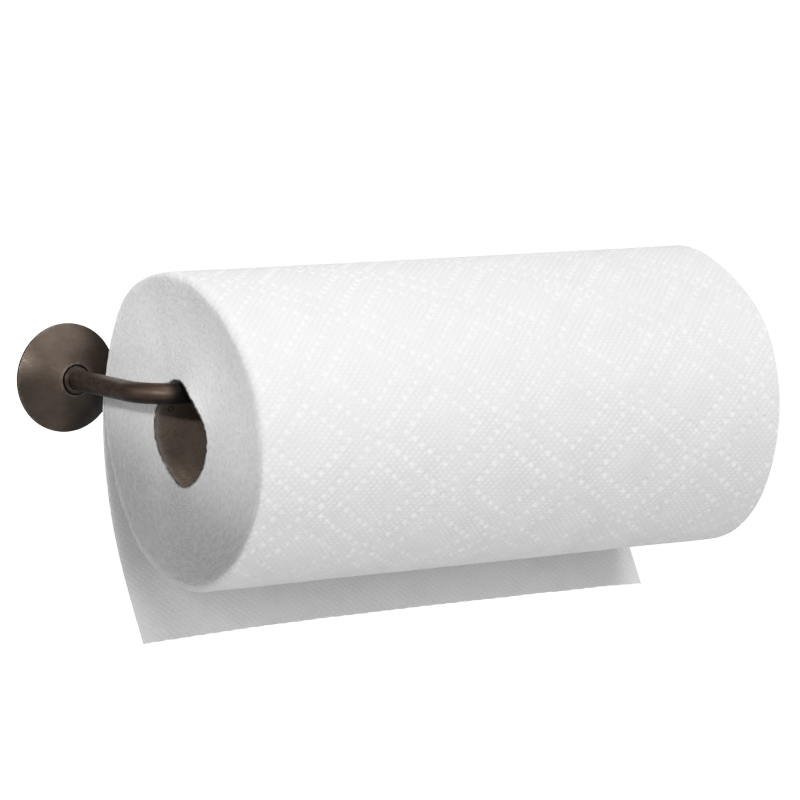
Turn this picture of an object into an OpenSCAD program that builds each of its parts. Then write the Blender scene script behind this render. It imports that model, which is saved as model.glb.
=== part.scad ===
// Wall-mounted paper towel holder: one bent arm on a round base, with a roll hung on it.
// Millimetres. The origin is the centre of the face that meets the wall.
// +X runs along the arm, -Y points into the room and +Z is up.

/* [Arm] */
// Diameter of the rod that the arm is bent from
rod_d = 9.5; // [8:0.5:12]
// Centreline radius of the arm's bend
bend_r = 20; // [15:1:30]
// Length of the bend that lies inside the roll's core
bend_inside = 5.3; // [2:0.1:8]
// Diameter of the knob at the arm's end
knob_d = 14; // [12:0.5:16]
// Distance from the roll's far face to the knob's centre
knob_reach = 32; // [28:1:40]
// Diameter of the flat seat between the knob and the rod
knob_seat_d = 9.5; // [7:0.5:10]
// Length of the threaded stud on the knob
stud_len = 10; // [6:1:16]

/* [Roll] */
// Length of the roll, which is the width of a towel
roll_len = 279.4; // [220:0.1:300]
// Outside diameter of the roll
roll_d = 141.6; // [100:0.1:150]
// Radius of the soft edge at each end of the roll
roll_edge_r = 3; // [1:0.5:6]
// Inside diameter of the cardboard core
core_d = 46.4; // [38:0.1:52]
// Wall of the cardboard core
core_wall = 0.8; // [0.5:0.1:1.5]
// Gap left between the core and the arm it hangs on
hang_gap = 0.3; // [0.1:0.1:1]
// Gap between the cover and the back of the loaded roll
roll_cover_gap = 0.3; // [0.3:0.1:10]

/* [Loose sheet] */
// Thickness of the embossed two-ply sheet
sheet_t = 0.5; // [0.3:0.1:0.8]
// Gap between the loose sheet and the roll
sheet_gap = 0.3; // [0.3:0.1:1]
// Angle over which the sheet still lies on the roll, in degrees
lead_deg = 8; // [4:1:20]
// Inner radius of the sheet's curl
curl_r = 141.7; // [110:0.1:200]
// Angle through which the sheet curls, in degrees
curl_deg = 33; // [20:1:45]
// Length of the sheet's flat end
tail_len = 24.5; // [10:0.5:60]

/* [Cover] */
// Diameter of the round cover
cover_d = 50; // [44:1:64]
// Height of the cover from the wall to the edge of its pocket
cover_h = 10.6; // [9:0.1:16]
// Height of the cover's upright rim
cover_rim = 1.2; // [0.8:0.1:2]
// Radius of the cover's slightly crowned side
crown_r = 65; // [50:1:120]
// Sheet thickness of the cover
cover_t = 1; // [0.6:0.1:1.4]
// Depth of the pocket that the ring sits in
pocket_deep = 1.9; // [1.5:0.1:2.2]

/* [Ring] */
// Diameter of the ring that holds the cover
ring_d = 13.2; // [13:0.1:15]
// Gap around the ring in the cover's pocket
ring_gap = 0.4; // [0.2:0.1:0.8]
// Height that the ring stands out of the cover
ring_proud = 0.9; // [0.5:0.1:2]
// Width of the bevel around the ring
ring_bevel = 0.7; // [0.3:0.1:1]
// Width of the ring's raised lip around the rod
lip_w = 0.4; // [0.3:0.1:0.6]
// Height of the ring's raised lip
lip_h = 0.4; // [0.2:0.1:0.8]
// Length of the ring's lip that runs along the rod
lip_len = 1.2; // [0.8:0.1:1.5]

/* [Base] */
// Thickness of the base plate
plate_t = 2.5; // [2:0.1:3]
// Chamfer on the base plate's front edge
plate_chamfer = 0.4; // [0.2:0.1:0.8]
// Wall of the socket around the rod
socket_wall = 1; // [0.8:0.1:1.4]
// Thickness of the socket's floor
socket_floor = 1.5; // [1:0.1:2.5]
// Diameter of the socket's spigot in the base plate
spigot_d = 10; // [9:0.1:11]
// Depth that the socket and its screw stay behind the plate's wall face
back_relief = 0.2; // [0.1:0.1:0.5]

/* [Fixings] */
// Distance between the two wall screws
screw_pitch = 24; // [22:0.5:30]
// Length of the wall screws
screw_len = 22; // [18:1:30]
// Outside diameter of the wall screws' thread
screw_d = 4; // [3.5:0.1:4.5]
// Head diameter of the wall screws
screw_head_d = 8; // [7:0.1:8.4]
// Distance from one turn of the screw's thread to the next
thread_pitch = 1.8; // [1.4:0.1:2.4]
// Height of the screw's thread
thread_h = 0.55; // [0.3:0.05:0.7]
// Diameter of the machine screw's shank and of the knob's stud
machine_d = 4; // [3:0.5:5]
// Head diameter of the machine screw
machine_head_d = 7.8; // [7:0.1:9]
// Length of the machine screw
machine_len = 14; // [10:1:20]
// Diameter of the plugs in the wall
plug_d = 6; // [5.5:0.5:8]
// Length of the plugs in the wall
plug_len = 18; // [14:1:24]
// Depth of the plugs' mouths behind the wall's surface
plug_sunk = 3; // [2.5:0.5:5]
// Wall left around the bore at a plug's tip
plug_tip = 1.2; // [0.8:0.1:2]

/* [Hidden] */
$fn = 96;
six_sides = 6;

// Clearances between pieces of the fixed holder
fit = 0.03;
thread_gap = 0.05;
screw_gap = 0.2;
cover_gap = 0.15;
seat_gap = 0.1;
// How far cutting shapes reach past what they cut, and joined ones into each other
past = 1;
lap = 0.1;

// Arm and roll
rod_r = rod_d / 2;
roll_r = roll_d / 2;
core_r = core_d / 2;
knob_r = knob_d / 2;
roll_x = bend_r - bend_inside;
roll_far_x = roll_x + roll_len;
knob_x = roll_far_x + knob_reach;
knob_seat = sqrt(pow(knob_r, 2) - pow(knob_seat_d / 2, 2));
arm_end_x = knob_x - knob_seat;
roll_drop = core_r - rod_r - hang_gap;
sheet_r = roll_r + sheet_gap;

// Cover, as an arc from the top of its rim to the edge of its pocket
cover_r = cover_d / 2;
ring_r = ring_d / 2;
pocket_r = ring_r + ring_gap;
crown_run = cover_r - pocket_r;
crown_rise = cover_h - cover_rim;
crown_chord = sqrt(pow(crown_run, 2) + pow(crown_rise, 2));
crown_back = sqrt(pow(crown_r, 2) - pow(crown_chord / 2, 2));
crown_x = (cover_r + pocket_r) / 2 - crown_back * crown_rise / crown_chord;
crown_y = (cover_h + cover_rim) / 2 - crown_back * crown_run / crown_chord;
pocket_floor = cover_h - pocket_deep;
cover_at_roll = crown_y + sqrt(pow(crown_r, 2) - pow(roll_x - crown_x, 2));
arm_reach = cover_at_roll + roll_cover_gap + sheet_t + sheet_r;

// Base plate, socket and ring
cover_in_x = crown_x + sqrt(pow(crown_r - cover_t, 2) - pow(plate_t - crown_y, 2));
plate_r = min(cover_r - cover_t, cover_in_x) - cover_gap;
spigot_r = spigot_d / 2;
bore_r = rod_r + fit;
socket_r = bore_r + socket_wall;
rod_root = plate_t + socket_floor;
ring_top = cover_h + ring_proud;
lip_top = ring_top + lip_h;
lip_bore_r = rod_r + seat_gap;
lip_under = lip_top - lip_len;
socket_top = lip_under - seat_gap;

// Screws and plugs
screw_r = screw_d / 2;
screw_root_r = screw_r - thread_h;
screw_head_r = screw_head_d / 2;
screw_head_h = screw_head_r - screw_r;
screw_top = max(plate_t, screw_head_h);
screw_hole_r = screw_r + screw_gap;
screw_back = screw_len - plate_t;
machine_r = machine_d / 2;
machine_head_r = machine_head_d / 2;
machine_head_h = machine_head_r - machine_r;
plug_r = plug_d / 2;
plug_end = plug_sunk + plug_len;
driver_w = 0.9;
driver_l = 4.2;
driver_deep = 1.4;
key_d = 2.5;
key_deep = 1.5;
slit_w = 0.9;
groove_deep = 0.3;
groove_w = 1;
groove_pitch = 2.2;
screw_point = 3;
thread_start = plug_sunk;
thread_end = screw_back - screw_point;
thread_turns = floor((thread_end - thread_start) / thread_pitch);

// Turns what is drawn upwards so that it stands out from the wall into the room
module into_room() {
  rotate([90, 0, 0]) children();
}

// Carries what is drawn around the origin to each wall screw
module at_wall_screws() {
  translate([0, 0, screw_pitch / 2]) children();
  translate([0, 0, -screw_pitch / 2]) children();
}

// Turns what is drawn upwards so that it runs along the roll's axis, from the roll's near face
module along_roll() {
  translate([roll_x, -arm_reach, -roll_drop]) rotate([0, 90, 0]) children();
}

// A countersunk hole that opens from the wall's side up to the head's rim
module sunk_hole(hole_r, head_r) {
  translate([0, 0, -past]) cylinder(r = hole_r, h = 2 * past);
  cylinder(r1 = hole_r, r2 = head_r, h = head_r - hole_r);
  translate([0, 0, head_r - hole_r]) cylinder(r = head_r, h = screw_top + past);
}

module plate_profile() {
  polygon([
    [spigot_r + fit, 0],
    [plate_r, 0],
    [plate_r, plate_t - plate_chamfer],
    [plate_r - plate_chamfer, plate_t],
    [spigot_r + fit, plate_t]
  ]);
}

module base_plate() {
  color("dimgray") difference() {
    into_room() rotate_extrude() plate_profile();
    at_wall_screws() into_room() sunk_hole(screw_hole_r, screw_head_r + screw_gap);
  }
}

module socket_profile() {
  polygon([
    [machine_r + screw_gap, back_relief],
    [spigot_r, back_relief],
    [spigot_r, plate_t],
    [socket_r, plate_t],
    [socket_r, socket_top],
    [bore_r, socket_top],
    [bore_r, rod_root],
    [machine_r + screw_gap, rod_root]
  ]);
}

module arm_socket() {
  color("silver") into_room() difference() {
    rotate_extrude() socket_profile();
    translate([0, 0, back_relief])
      cylinder(r1 = machine_head_r + screw_gap, r2 = machine_r + screw_gap, h = machine_head_h);
  }
}

module arm_screw() {
  color("darkgray") into_room() translate([0, 0, back_relief]) difference() {
    union() {
      cylinder(r1 = machine_head_r, r2 = machine_r, h = machine_head_h);
      translate([0, 0, machine_head_h]) cylinder(r = machine_r, h = machine_len - machine_head_h);
    }
    translate([0, 0, -past]) cylinder(d = key_d, h = key_deep + past, $fn = six_sides);
  }
}

module arm_bar() {
  into_room() translate([0, 0, rod_root]) cylinder(r = rod_r, h = arm_reach - bend_r - rod_root);
  translate([bend_r, bend_r - arm_reach, 0]) rotate([0, 0, 180]) rotate_extrude(angle = 90)
    translate([bend_r, 0]) circle(r = rod_r);
  translate([bend_r, -arm_reach, 0]) rotate([0, 90, 0]) cylinder(r = rod_r, h = arm_end_x - bend_r);
}

module arm() {
  color("saddlebrown") difference() {
    arm_bar();
    into_room() cylinder(r = machine_r + thread_gap, h = back_relief + machine_len + past);
    translate([arm_end_x - stud_len - past, -arm_reach, 0]) rotate([0, 90, 0])
      cylinder(r = machine_r + thread_gap, h = stud_len + 2 * past);
  }
}

module end_knob() {
  color("sienna") translate([arm_end_x, -arm_reach, 0]) rotate([0, 90, 0]) {
    difference() {
      translate([0, 0, knob_seat]) sphere(r = knob_r);
      translate([0, 0, -knob_r]) cylinder(r = knob_r, h = knob_r);
    }
    translate([0, 0, -stud_len]) cylinder(r = machine_r, h = stud_len);
  }
}

// The area under the cover's crowned side, out to a radius, drawn a depth below the outside
module under_crown(depth, out_r) {
  intersection() {
    translate([crown_x, crown_y]) circle(r = crown_r - depth);
    square([out_r, cover_h + past]);
  }
}

module cover_profile() {
  difference() {
    under_crown(0, cover_r);
    under_crown(cover_t, cover_r - cover_t);
    square([pocket_r, cover_h + past]);
  }
  intersection() {
    under_crown(0, cover_r);
    translate([pocket_r, pocket_floor - cover_t]) square([cover_t, pocket_deep + cover_t + past]);
  }
  translate([socket_r + screw_gap, pocket_floor - cover_t])
    square([pocket_r + cover_t - socket_r - screw_gap, cover_t]);
}

module dome_cover() {
  color("saddlebrown") into_room() rotate_extrude() cover_profile();
}

module ring_profile() {
  polygon([
    [socket_r + fit, pocket_floor],
    [ring_r, pocket_floor],
    [ring_r, ring_top - ring_bevel],
    [ring_r - ring_bevel, ring_top],
    [lip_bore_r + lip_w, ring_top],
    [lip_bore_r + lip_w, lip_top],
    [lip_bore_r, lip_top],
    [lip_bore_r, lip_under],
    [socket_r + fit, lip_under]
  ]);
}

module cover_ring() {
  color("peru") into_room() rotate_extrude() ring_profile();
}

// A wood screw's head, plain shank and point, with each turn of the thread as a ring that rises to a crest
module screw_profile() {
  polygon(concat(
    [[0, screw_top], [screw_head_r, screw_top], [screw_head_r, screw_head_h], [screw_r, 0], [screw_r, -thread_start]],
    [for (i = [0:thread_turns - 1]) each [
      [screw_root_r, -thread_start - i * thread_pitch],
      [screw_root_r, -thread_start - (i + 0.5) * thread_pitch],
      [screw_r, -thread_start - (i + 0.75) * thread_pitch]
    ]],
    [[screw_root_r, -thread_end], [0, -screw_back]]
  ));
}

module wall_screws() {
  color("gainsboro") at_wall_screws() into_room() difference() {
    rotate_extrude() screw_profile();
    translate([-driver_l / 2, -driver_w / 2, screw_top - driver_deep]) cube([driver_l, driver_w, driver_deep + past]);
    translate([-driver_w / 2, -driver_l / 2, screw_top - driver_deep]) cube([driver_w, driver_l, driver_deep + past]);
  }
}

module plug_groove(i) {
  translate([0, 0, -plug_end + plug_tip + i * groove_pitch]) difference() {
    cylinder(r = plug_r + past, h = groove_w);
    translate([0, 0, -past]) cylinder(r = plug_r - groove_deep, h = groove_w + 2 * past);
  }
}

module wall_plugs() {
  color("whitesmoke") at_wall_screws() into_room() difference() {
    translate([0, 0, -plug_end]) cylinder(r = plug_r, h = plug_len);
    translate([0, 0, -plug_end - past]) cylinder(r = screw_r + thread_gap, h = plug_len + 2 * past);
    translate([-slit_w / 2, -plug_r - past, -plug_end - past]) cube([slit_w, 2 * plug_r + 2 * past, plug_len / 2 + past]);
    plug_groove(0);
    plug_groove(1);
    plug_groove(2);
  }
}

module roll_core() {
  color("burlywood") along_roll() difference() {
    cylinder(r = core_r + core_wall, h = roll_len);
    translate([0, 0, -past]) cylinder(r = core_r, h = roll_len + 2 * past);
  }
}

module roll_profile() {
  in_r = core_r + core_wall;
  translate([in_r, 0]) square([roll_r - roll_edge_r - in_r, roll_len]);
  translate([in_r, roll_edge_r]) square([roll_r - in_r, roll_len - 2 * roll_edge_r]);
  translate([roll_r - roll_edge_r, roll_edge_r]) circle(r = roll_edge_r);
  translate([roll_r - roll_edge_r, roll_len - roll_edge_r]) circle(r = roll_edge_r);
}

module paper_roll() {
  color("white") along_roll() rotate_extrude() roll_profile();
}

// A strip of a ring of the sheet's thickness, from one angle up to another
module sheet_arc(in_r, from_deg, to_deg) {
  far = 2 * (in_r + sheet_t);
  intersection() {
    difference() {
      circle(r = in_r + sheet_t);
      circle(r = in_r);
    }
    polygon([[0, 0], far * [cos(from_deg), sin(from_deg)], far * [cos(to_deg), sin(to_deg)]]);
  }
}

module sheet_profile() {
  sheet_arc(sheet_r, 0, lead_deg);
  translate([sheet_r - curl_r, 0]) {
    sheet_arc(curl_r, -curl_deg, 0);
    rotate([0, 0, -curl_deg]) translate([curl_r, -tail_len]) square([sheet_t, tail_len + lap]);
  }
}

module loose_sheet() {
  color("ghostwhite") translate([roll_x, -arm_reach, -roll_drop]) rotate([90, 0, 90])
    linear_extrude(height = roll_len) sheet_profile();
}

base_plate();
arm_socket();
arm_screw();
arm();
end_knob();
dome_cover();
cover_ring();
wall_screws();
wall_plugs();
roll_core();
paper_roll();
loose_sheet();
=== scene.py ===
"""A wall-mounted paper towel holder with a loaded roll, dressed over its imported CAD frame.

The bronze arm, cover, ring and knob and the hidden fixings are the frame's own solids, and get their
finishes here. The roll's paper, its card core and the loose sheet are new surfaces that stand for the
frame's plain solids. All lengths are in metres. Angles around the roll are measured from the room side
(-Y) upwards.
"""

from __future__ import annotations

import logging
import math
from dataclasses import dataclass, field
from enum import Enum

import bpy
import numpy as np
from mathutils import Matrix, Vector


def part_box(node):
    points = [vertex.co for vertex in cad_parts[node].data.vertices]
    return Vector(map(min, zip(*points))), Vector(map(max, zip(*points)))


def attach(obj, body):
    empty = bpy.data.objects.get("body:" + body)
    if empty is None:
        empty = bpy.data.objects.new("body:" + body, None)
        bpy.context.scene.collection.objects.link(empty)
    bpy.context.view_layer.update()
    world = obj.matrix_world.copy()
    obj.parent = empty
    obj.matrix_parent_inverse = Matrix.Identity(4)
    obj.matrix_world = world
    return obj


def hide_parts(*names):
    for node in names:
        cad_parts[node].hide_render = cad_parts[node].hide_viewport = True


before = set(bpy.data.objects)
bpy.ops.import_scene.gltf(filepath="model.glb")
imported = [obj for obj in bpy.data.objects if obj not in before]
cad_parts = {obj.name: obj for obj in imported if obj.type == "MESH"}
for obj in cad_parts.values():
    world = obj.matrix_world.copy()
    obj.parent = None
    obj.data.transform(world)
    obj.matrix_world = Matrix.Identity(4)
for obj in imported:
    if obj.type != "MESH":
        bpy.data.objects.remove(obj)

LOG = logging.getLogger("towel_holder")
MM = 0.001

Socket = bpy.types.NodeSocket
Colour = tuple[float, float, float]
Point = tuple[float, float, float]


class Body(Enum):
    """The bodies of the frame that the new pieces ride on."""

    SHEET = "hanging_sheet"
    ROLL = "roll"


class Slot(Enum):
    """Two material slots of the record, for card and for paper; nothing in this script uses them."""

    CARD = "core_card"
    PAPER = "white_paper"


@dataclass(frozen=True)
class PinRows:
    """The towel's fine ground of pins, as three sets of parallel rows.

    Each set has its count of rows to a metre across the web and along it. The third set's counts are the sums
    of the other two's, so the three meet on each pin.

    Args:
        rows: Each set's counts, across and along.
        phases: Each set's phase.
        weights: Each set's share in the height.
    """

    rows: tuple[tuple[float, float], ...] = ((276.1, -268.6), (56.1, 572.8), (332.2, 304.2))
    phases: tuple[float, ...] = (1.653, -1.955, -0.302)
    weights: tuple[float, ...] = (0.46, 0.29, 0.25)

    def height(self, across: np.ndarray, along: np.ndarray) -> np.ndarray:
        """The sum of the three waves, each the cosine of its rows' count at a place, from about -0.5 to 1."""
        waves = (
            np.cos(2 * np.pi * (across * x + along * s) + phase)
            for (x, s), phase in zip(self.rows, self.phases)
        )
        return sum(weight * wave for weight, wave in zip(self.weights, waves))


PINS = PinRows()
# The length on the web that one unit of a UV map stands for.
WEB_UNIT = 0.5
# The angle at which the loose sheet leaves the roll, and where the turn that ends there starts, in degrees.
SEAM = 172.0
TURN_START = SEAM - 360.0


# ------------ Shader wiring ------------


@dataclass
class Wiring:
    """Adds nodes to one node tree and joins them.

    Args:
        tree: The node tree of a material, a world or a group.
    """

    tree: bpy.types.NodeTree

    def add(self, kind: str, settings: dict | None = None, **inputs: object) -> bpy.types.Node:
        """Adds a node.

        Args:
            kind: The node's type, without the words ShaderNode.
            settings: Properties of the node to set.
            **inputs: Values or sockets for its inputs, by name with _ for a blank, or by place as in0, in1
                and so on.

        Returns:
            The new node.
        """
        node = self.tree.nodes.new(kind if kind.startswith("Node") else "ShaderNode" + kind)
        for name, value in (settings or {}).items():
            setattr(node, name, value)
        for name, value in inputs.items():
            by_place = name[:2] == "in" and name[2:].isdigit()
            self.feed(node.inputs[int(name[2:]) if by_place else name.replace("_", " ")], value)
        return node

    def feed(self, socket: Socket, value: object) -> None:
        """Joins a socket to an input, or sets the input's own value.

        Args:
            socket: The input.
            value: A socket to join to it, or a value for it.
        """
        if isinstance(value, Socket):
            self.tree.links.new(value, socket)
        else:
            socket.default_value = value

    def math(self, operation: str, first: object, second: object = 0.0, clamp: bool = False) -> Socket:
        """Adds a Math node for two numbers or sockets, kept between 0 and 1 where clamp is set."""
        node = self.add("Math", {"operation": operation, "use_clamp": clamp}, in0=first, in1=second)
        return node.outputs[0]

    def times(self, first: object, second: object, clamp: bool = False) -> Socket:
        """Multiplies two numbers or sockets, kept between 0 and 1 where clamp is set."""
        return self.math("MULTIPLY", first, second, clamp)

    def plus(self, first: object, second: object, clamp: bool = False) -> Socket:
        """Adds two numbers or sockets, kept between 0 and 1 where clamp is set."""
        return self.math("ADD", first, second, clamp)

    def minus(self, first: object, second: object) -> Socket:
        """Takes the second number or socket from the first."""
        return self.math("SUBTRACT", first, second)

    def over(self, first: object, second: object) -> Socket:
        """Divides the first number or socket by the second."""
        return self.math("DIVIDE", first, second)

    def gap(self, first: object, second: object) -> Socket:
        """The size of the difference between two numbers or sockets."""
        return self.math("ABSOLUTE", self.minus(first, second))

    def weigh(self, first: object, share: float, second: object, other: float) -> Socket:
        """Adds two values, each times a weight of its own."""
        return self.plus(self.times(first, share), self.times(second, other))

    def distance(self, side: object, rise: object) -> Socket:
        """The length of a line from its two sides at right angles: the root of the sum of their squares."""
        return self.math("SQRT", self.plus(self.times(side, side), self.times(rise, rise)))

    def spread(
        self, value: object, low: float, high: float, to_low: float = 0.0, to_high: float = 1.0
    ) -> Socket:
        """Carries a value smoothly from one range to another, and holds it at the ends.

        Args:
            value: The socket to carry over.
            low: The start of its range.
            high: The end of its range.
            to_low: What low becomes.
            to_high: What high becomes.

        Returns:
            The carried value.
        """
        settings = {"interpolation_type": "SMOOTHSTEP"}
        node = self.add(
            "MapRange", settings, Value=value, From_Min=low, From_Max=high, To_Min=to_low, To_Max=to_high
        )
        return node.outputs[0]

    def blend(self, amount: object, first: object, second: object, how: str = "MIX") -> Socket:
        """Mixes two colours.

        Args:
            amount: The share of the second colour.
            first: A colour or a socket.
            second: A colour or a socket.
            how: The way to mix them.

        Returns:
            The mixed colour.
        """
        node = self.tree.nodes.new("ShaderNodeMix")
        node.data_type, node.blend_type = "RGBA", how
        self.feed(node.inputs["Factor"], amount)
        colours = [socket for socket in node.inputs if socket.type == "RGBA"]
        self.feed(colours[0], first)
        self.feed(colours[1], second)
        return next(socket for socket in node.outputs if socket.type == "RGBA")

    def noise(self, where: object, scale: object, detail: float = 3.0, roughness: float = 0.5) -> Socket:
        """Adds a Noise Texture.

        Args:
            where: The socket of its coordinates.
            scale: Its scale, in features to a metre, as a number or a socket.
            detail: Its octaves.
            roughness: The weight of the finer octaves.

        Returns:
            Its value, from 0 to 1.
        """
        return self.add(
            "TexNoise", None, Vector=where, Scale=scale, Detail=detail, Roughness=roughness
        ).outputs[0]

    def waver(self, where: object, scale: float, detail: float, width: float) -> Socket:
        """A noise that swings evenly about nothing: a Noise Texture, less a half, times a width."""
        return self.times(self.minus(self.noise(where, scale, detail), 0.5), width)

    def place(self) -> Socket:
        """Reads the place on the piece, in metres."""
        return self.add("TexCoord").outputs["Object"]

    def web(self) -> Socket:
        """Reads the place on the piece's own web, across and along it."""
        return self.add("UVMap", {"uv_map": "web"}).outputs[0]

    def mask(self, name: str) -> Socket:
        """Reads one of the piece's attributes, from 0 to 1."""
        return self.add("Attribute", {"attribute_name": name}).outputs["Fac"]

    def parts(self, vector: object) -> bpy.types.NodeOutputs:
        """Takes a vector apart into its X, Y and Z."""
        return self.add("SeparateXYZ", None, Vector=vector).outputs

    def facing_up(self) -> Socket:
        """How far the surface faces up, from -1 below to 1 above."""
        return self.parts(self.add("NewGeometry").outputs["Normal"])[2]

    def scaled(self, vector: object, scale: object) -> Socket:
        """Multiplies a vector by a number or a socket."""
        return self.add("VectorMath", {"operation": "SCALE"}, in0=vector, Scale=scale).outputs[0]

    def point(self, x: object, y: object = 0.0) -> Socket:
        """Puts two numbers or sockets together into a vector, with a Z of nothing."""
        return self.add("CombineXYZ", None, X=x, Y=y).outputs[0]

    def stretch(self, where: object, scale: Point, move: Point = (0.0, 0.0, 0.0)) -> Socket:
        """Adds a Mapping node: the coordinates times a scale, plus a move."""
        return self.add("Mapping", None, Vector=where, Scale=scale, Location=move).outputs[0]


@dataclass
class EffectGroup:
    """A shader group with named inputs and outputs, built once and placed in each material that uses it.

    Args:
        name: The group's name.
        inputs: Each input's name, kind and value at first.
        outputs: Each output's name and kind.
    """

    name: str
    inputs: tuple[tuple[str, str, object], ...]
    outputs: tuple[tuple[str, str], ...]

    def build(self) -> bpy.types.NodeTree:
        """Makes the group, or finds it where it has been made.

        Returns:
            The group's tree.
        """
        made = bpy.data.node_groups.get(self.name)
        if made is not None:
            return made
        tree = bpy.data.node_groups.new(self.name, "ShaderNodeTree")
        for name, kind, value in self.inputs:
            socket = tree.interface.new_socket(name, in_out="INPUT", socket_type="NodeSocket" + kind)
            if value is not None:
                socket.default_value = value
        for name, kind in self.outputs:
            tree.interface.new_socket(name, in_out="OUTPUT", socket_type="NodeSocket" + kind)
        wiring = Wiring(tree)
        start, end = wiring.add("NodeGroupInput"), wiring.add("NodeGroupOutput")
        self.wire(wiring, start.outputs, end.inputs)
        return tree

    def wire(self, wiring: Wiring, given: bpy.types.NodeOutputs, out: bpy.types.NodeInputs) -> None:
        """Joins the group's inputs to its outputs; each effect has its own way."""
        raise NotImplementedError

    def place(self, wiring: Wiring, **inputs: object) -> bpy.types.NodeOutputs:
        """Puts the group into a material.

        Args:
            wiring: The material's wiring.
            **inputs: Values or sockets for its inputs, by name with _ for a blank.

        Returns:
            The placed group's outputs.
        """
        node = wiring.tree.nodes.new("ShaderNodeGroup")
        node.node_tree = self.build()
        for name, value in inputs.items():
            wiring.feed(node.inputs[name.replace("_", " ")], value)
        return node.outputs


class EdgeWear(EffectGroup):
    """Where a finish wears through: the convex edges, broken up by a fine noise."""

    def __init__(self) -> None:
        """Names the effect's inputs and outputs."""
        super().__init__(
            "edge_wear", (("Amount", "Float", 0.5), ("Scale", "Float", 600.0)), (("Mask", "Float"),)
        )

    def wire(self, wiring: Wiring, given: bpy.types.NodeOutputs, out: bpy.types.NodeInputs) -> None:
        """Multiplies the edges that Pointiness finds by a noise.

        Args:
            wiring: The group's wiring.
            given: The group's inputs.
            out: The group's outputs.
        """
        edge = wiring.spread(wiring.add("NewGeometry").outputs["Pointiness"], 0.505, 0.56)
        where = wiring.place()
        noise = wiring.noise(where, given["Scale"], 4.0, 0.6)
        patchy = wiring.spread(noise, 0.35, 0.65)
        wiring.feed(out["Mask"], wiring.times(wiring.times(edge, patchy), given["Amount"], True))


class FineGrain(EffectGroup):
    """A fine, even grain and a cloud twelve times its size, for the colour and the relief of a finish."""

    def __init__(self) -> None:
        """Names the effect's inputs and outputs."""
        super().__init__(
            "fine_grain",
            (("Vector", "Vector", None), ("Scale", "Float", 900.0)),
            (("Fine", "Float"), ("Cloud", "Float"), ("Height", "Float")),
        )

    def wire(self, wiring: Wiring, given: bpy.types.NodeOutputs, out: bpy.types.NodeInputs) -> None:
        """Takes a noise at the given scale, one at a twelfth of it, and their weighted mean as a height.

        Args:
            wiring: The group's wiring.
            given: The group's inputs.
            out: The group's outputs.
        """
        coarse = wiring.times(given["Scale"], 1 / 12)
        fine = wiring.noise(given["Vector"], given["Scale"], 5.0, 0.65)
        cloud = wiring.noise(given["Vector"], coarse)
        wiring.feed(out["Fine"], fine)
        wiring.feed(out["Cloud"], cloud)
        wiring.feed(out["Height"], wiring.weigh(fine, 0.75, cloud, 0.25))


class Fibres(EffectGroup):
    """Short pulp fibres that cross each other, as a streaky noise in two directions."""

    def __init__(self) -> None:
        """Names the effect's inputs and outputs."""
        super().__init__(
            "fibres", (("Vector", "Vector", None), ("Scale", "Float", 1.0)), (("Streaks", "Float"),)
        )

    def wire(self, wiring: Wiring, given: bpy.types.NodeOutputs, out: bpy.types.NodeInputs) -> None:
        """Adds two noises that are drawn out at different slants.

        Args:
            wiring: The group's wiring.
            given: The group's inputs.
            out: The group's outputs.
        """
        sized = wiring.scaled(given["Vector"], given["Scale"])
        turned = wiring.add("Mapping", None, Vector=sized, Rotation=(0.0, 0.0, 0.6)).outputs[0]
        leaning = wiring.add("Mapping", None, Vector=sized, Rotation=(0.0, 0.0, -0.9)).outputs[0]
        first = wiring.noise(wiring.stretch(turned, (0.18, 1.0, 1.0)), 1.0, 3.0, 0.6)
        second = wiring.noise(wiring.stretch(leaning, (0.25, 1.3, 1.0)), 1.0, 2.0, 0.6)
        wiring.feed(out["Streaks"], wiring.weigh(first, 0.5, second, 0.5))


class PinEmboss(EffectGroup):
    """The towel's fine ground: small round pins in slanting rows, between the larger dots.

    Three waves across the three sets of rows add up to 1 on a pin and fall between the pins.
    """

    def __init__(self) -> None:
        """Names the effect's inputs and outputs."""
        super().__init__(
            "pin_emboss", (("Across", "Float", 0.0), ("Along", "Float", 0.0)), (("Height", "Float"),)
        )

    def wire(self, wiring: Wiring, given: bpy.types.NodeOutputs, out: bpy.types.NodeInputs) -> None:
        """Adds the cosines of the three rows' waves and brings the sum between 0 and 1.

        Args:
            wiring: The group's wiring.
            given: The group's inputs.
            out: The group's outputs.
        """
        total: object = 0.0
        for (across, along), phase, weight in zip(PINS.rows, PINS.phases, PINS.weights):
            place = wiring.weigh(given["Across"], across, given["Along"], along)
            wave = wiring.math("COSINE", wiring.plus(wiring.times(place, 2 * math.pi), phase))
            total = wiring.plus(total, wiring.times(wave, weight))
        wiring.feed(out["Height"], wiring.spread(total, -0.5, 1.0))


EDGE_WEAR = EdgeWear()
FINE_GRAIN = FineGrain()
FIBRES = Fibres()
PIN_EMBOSS = PinEmboss()


# ------------ Finishes ------------


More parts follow.
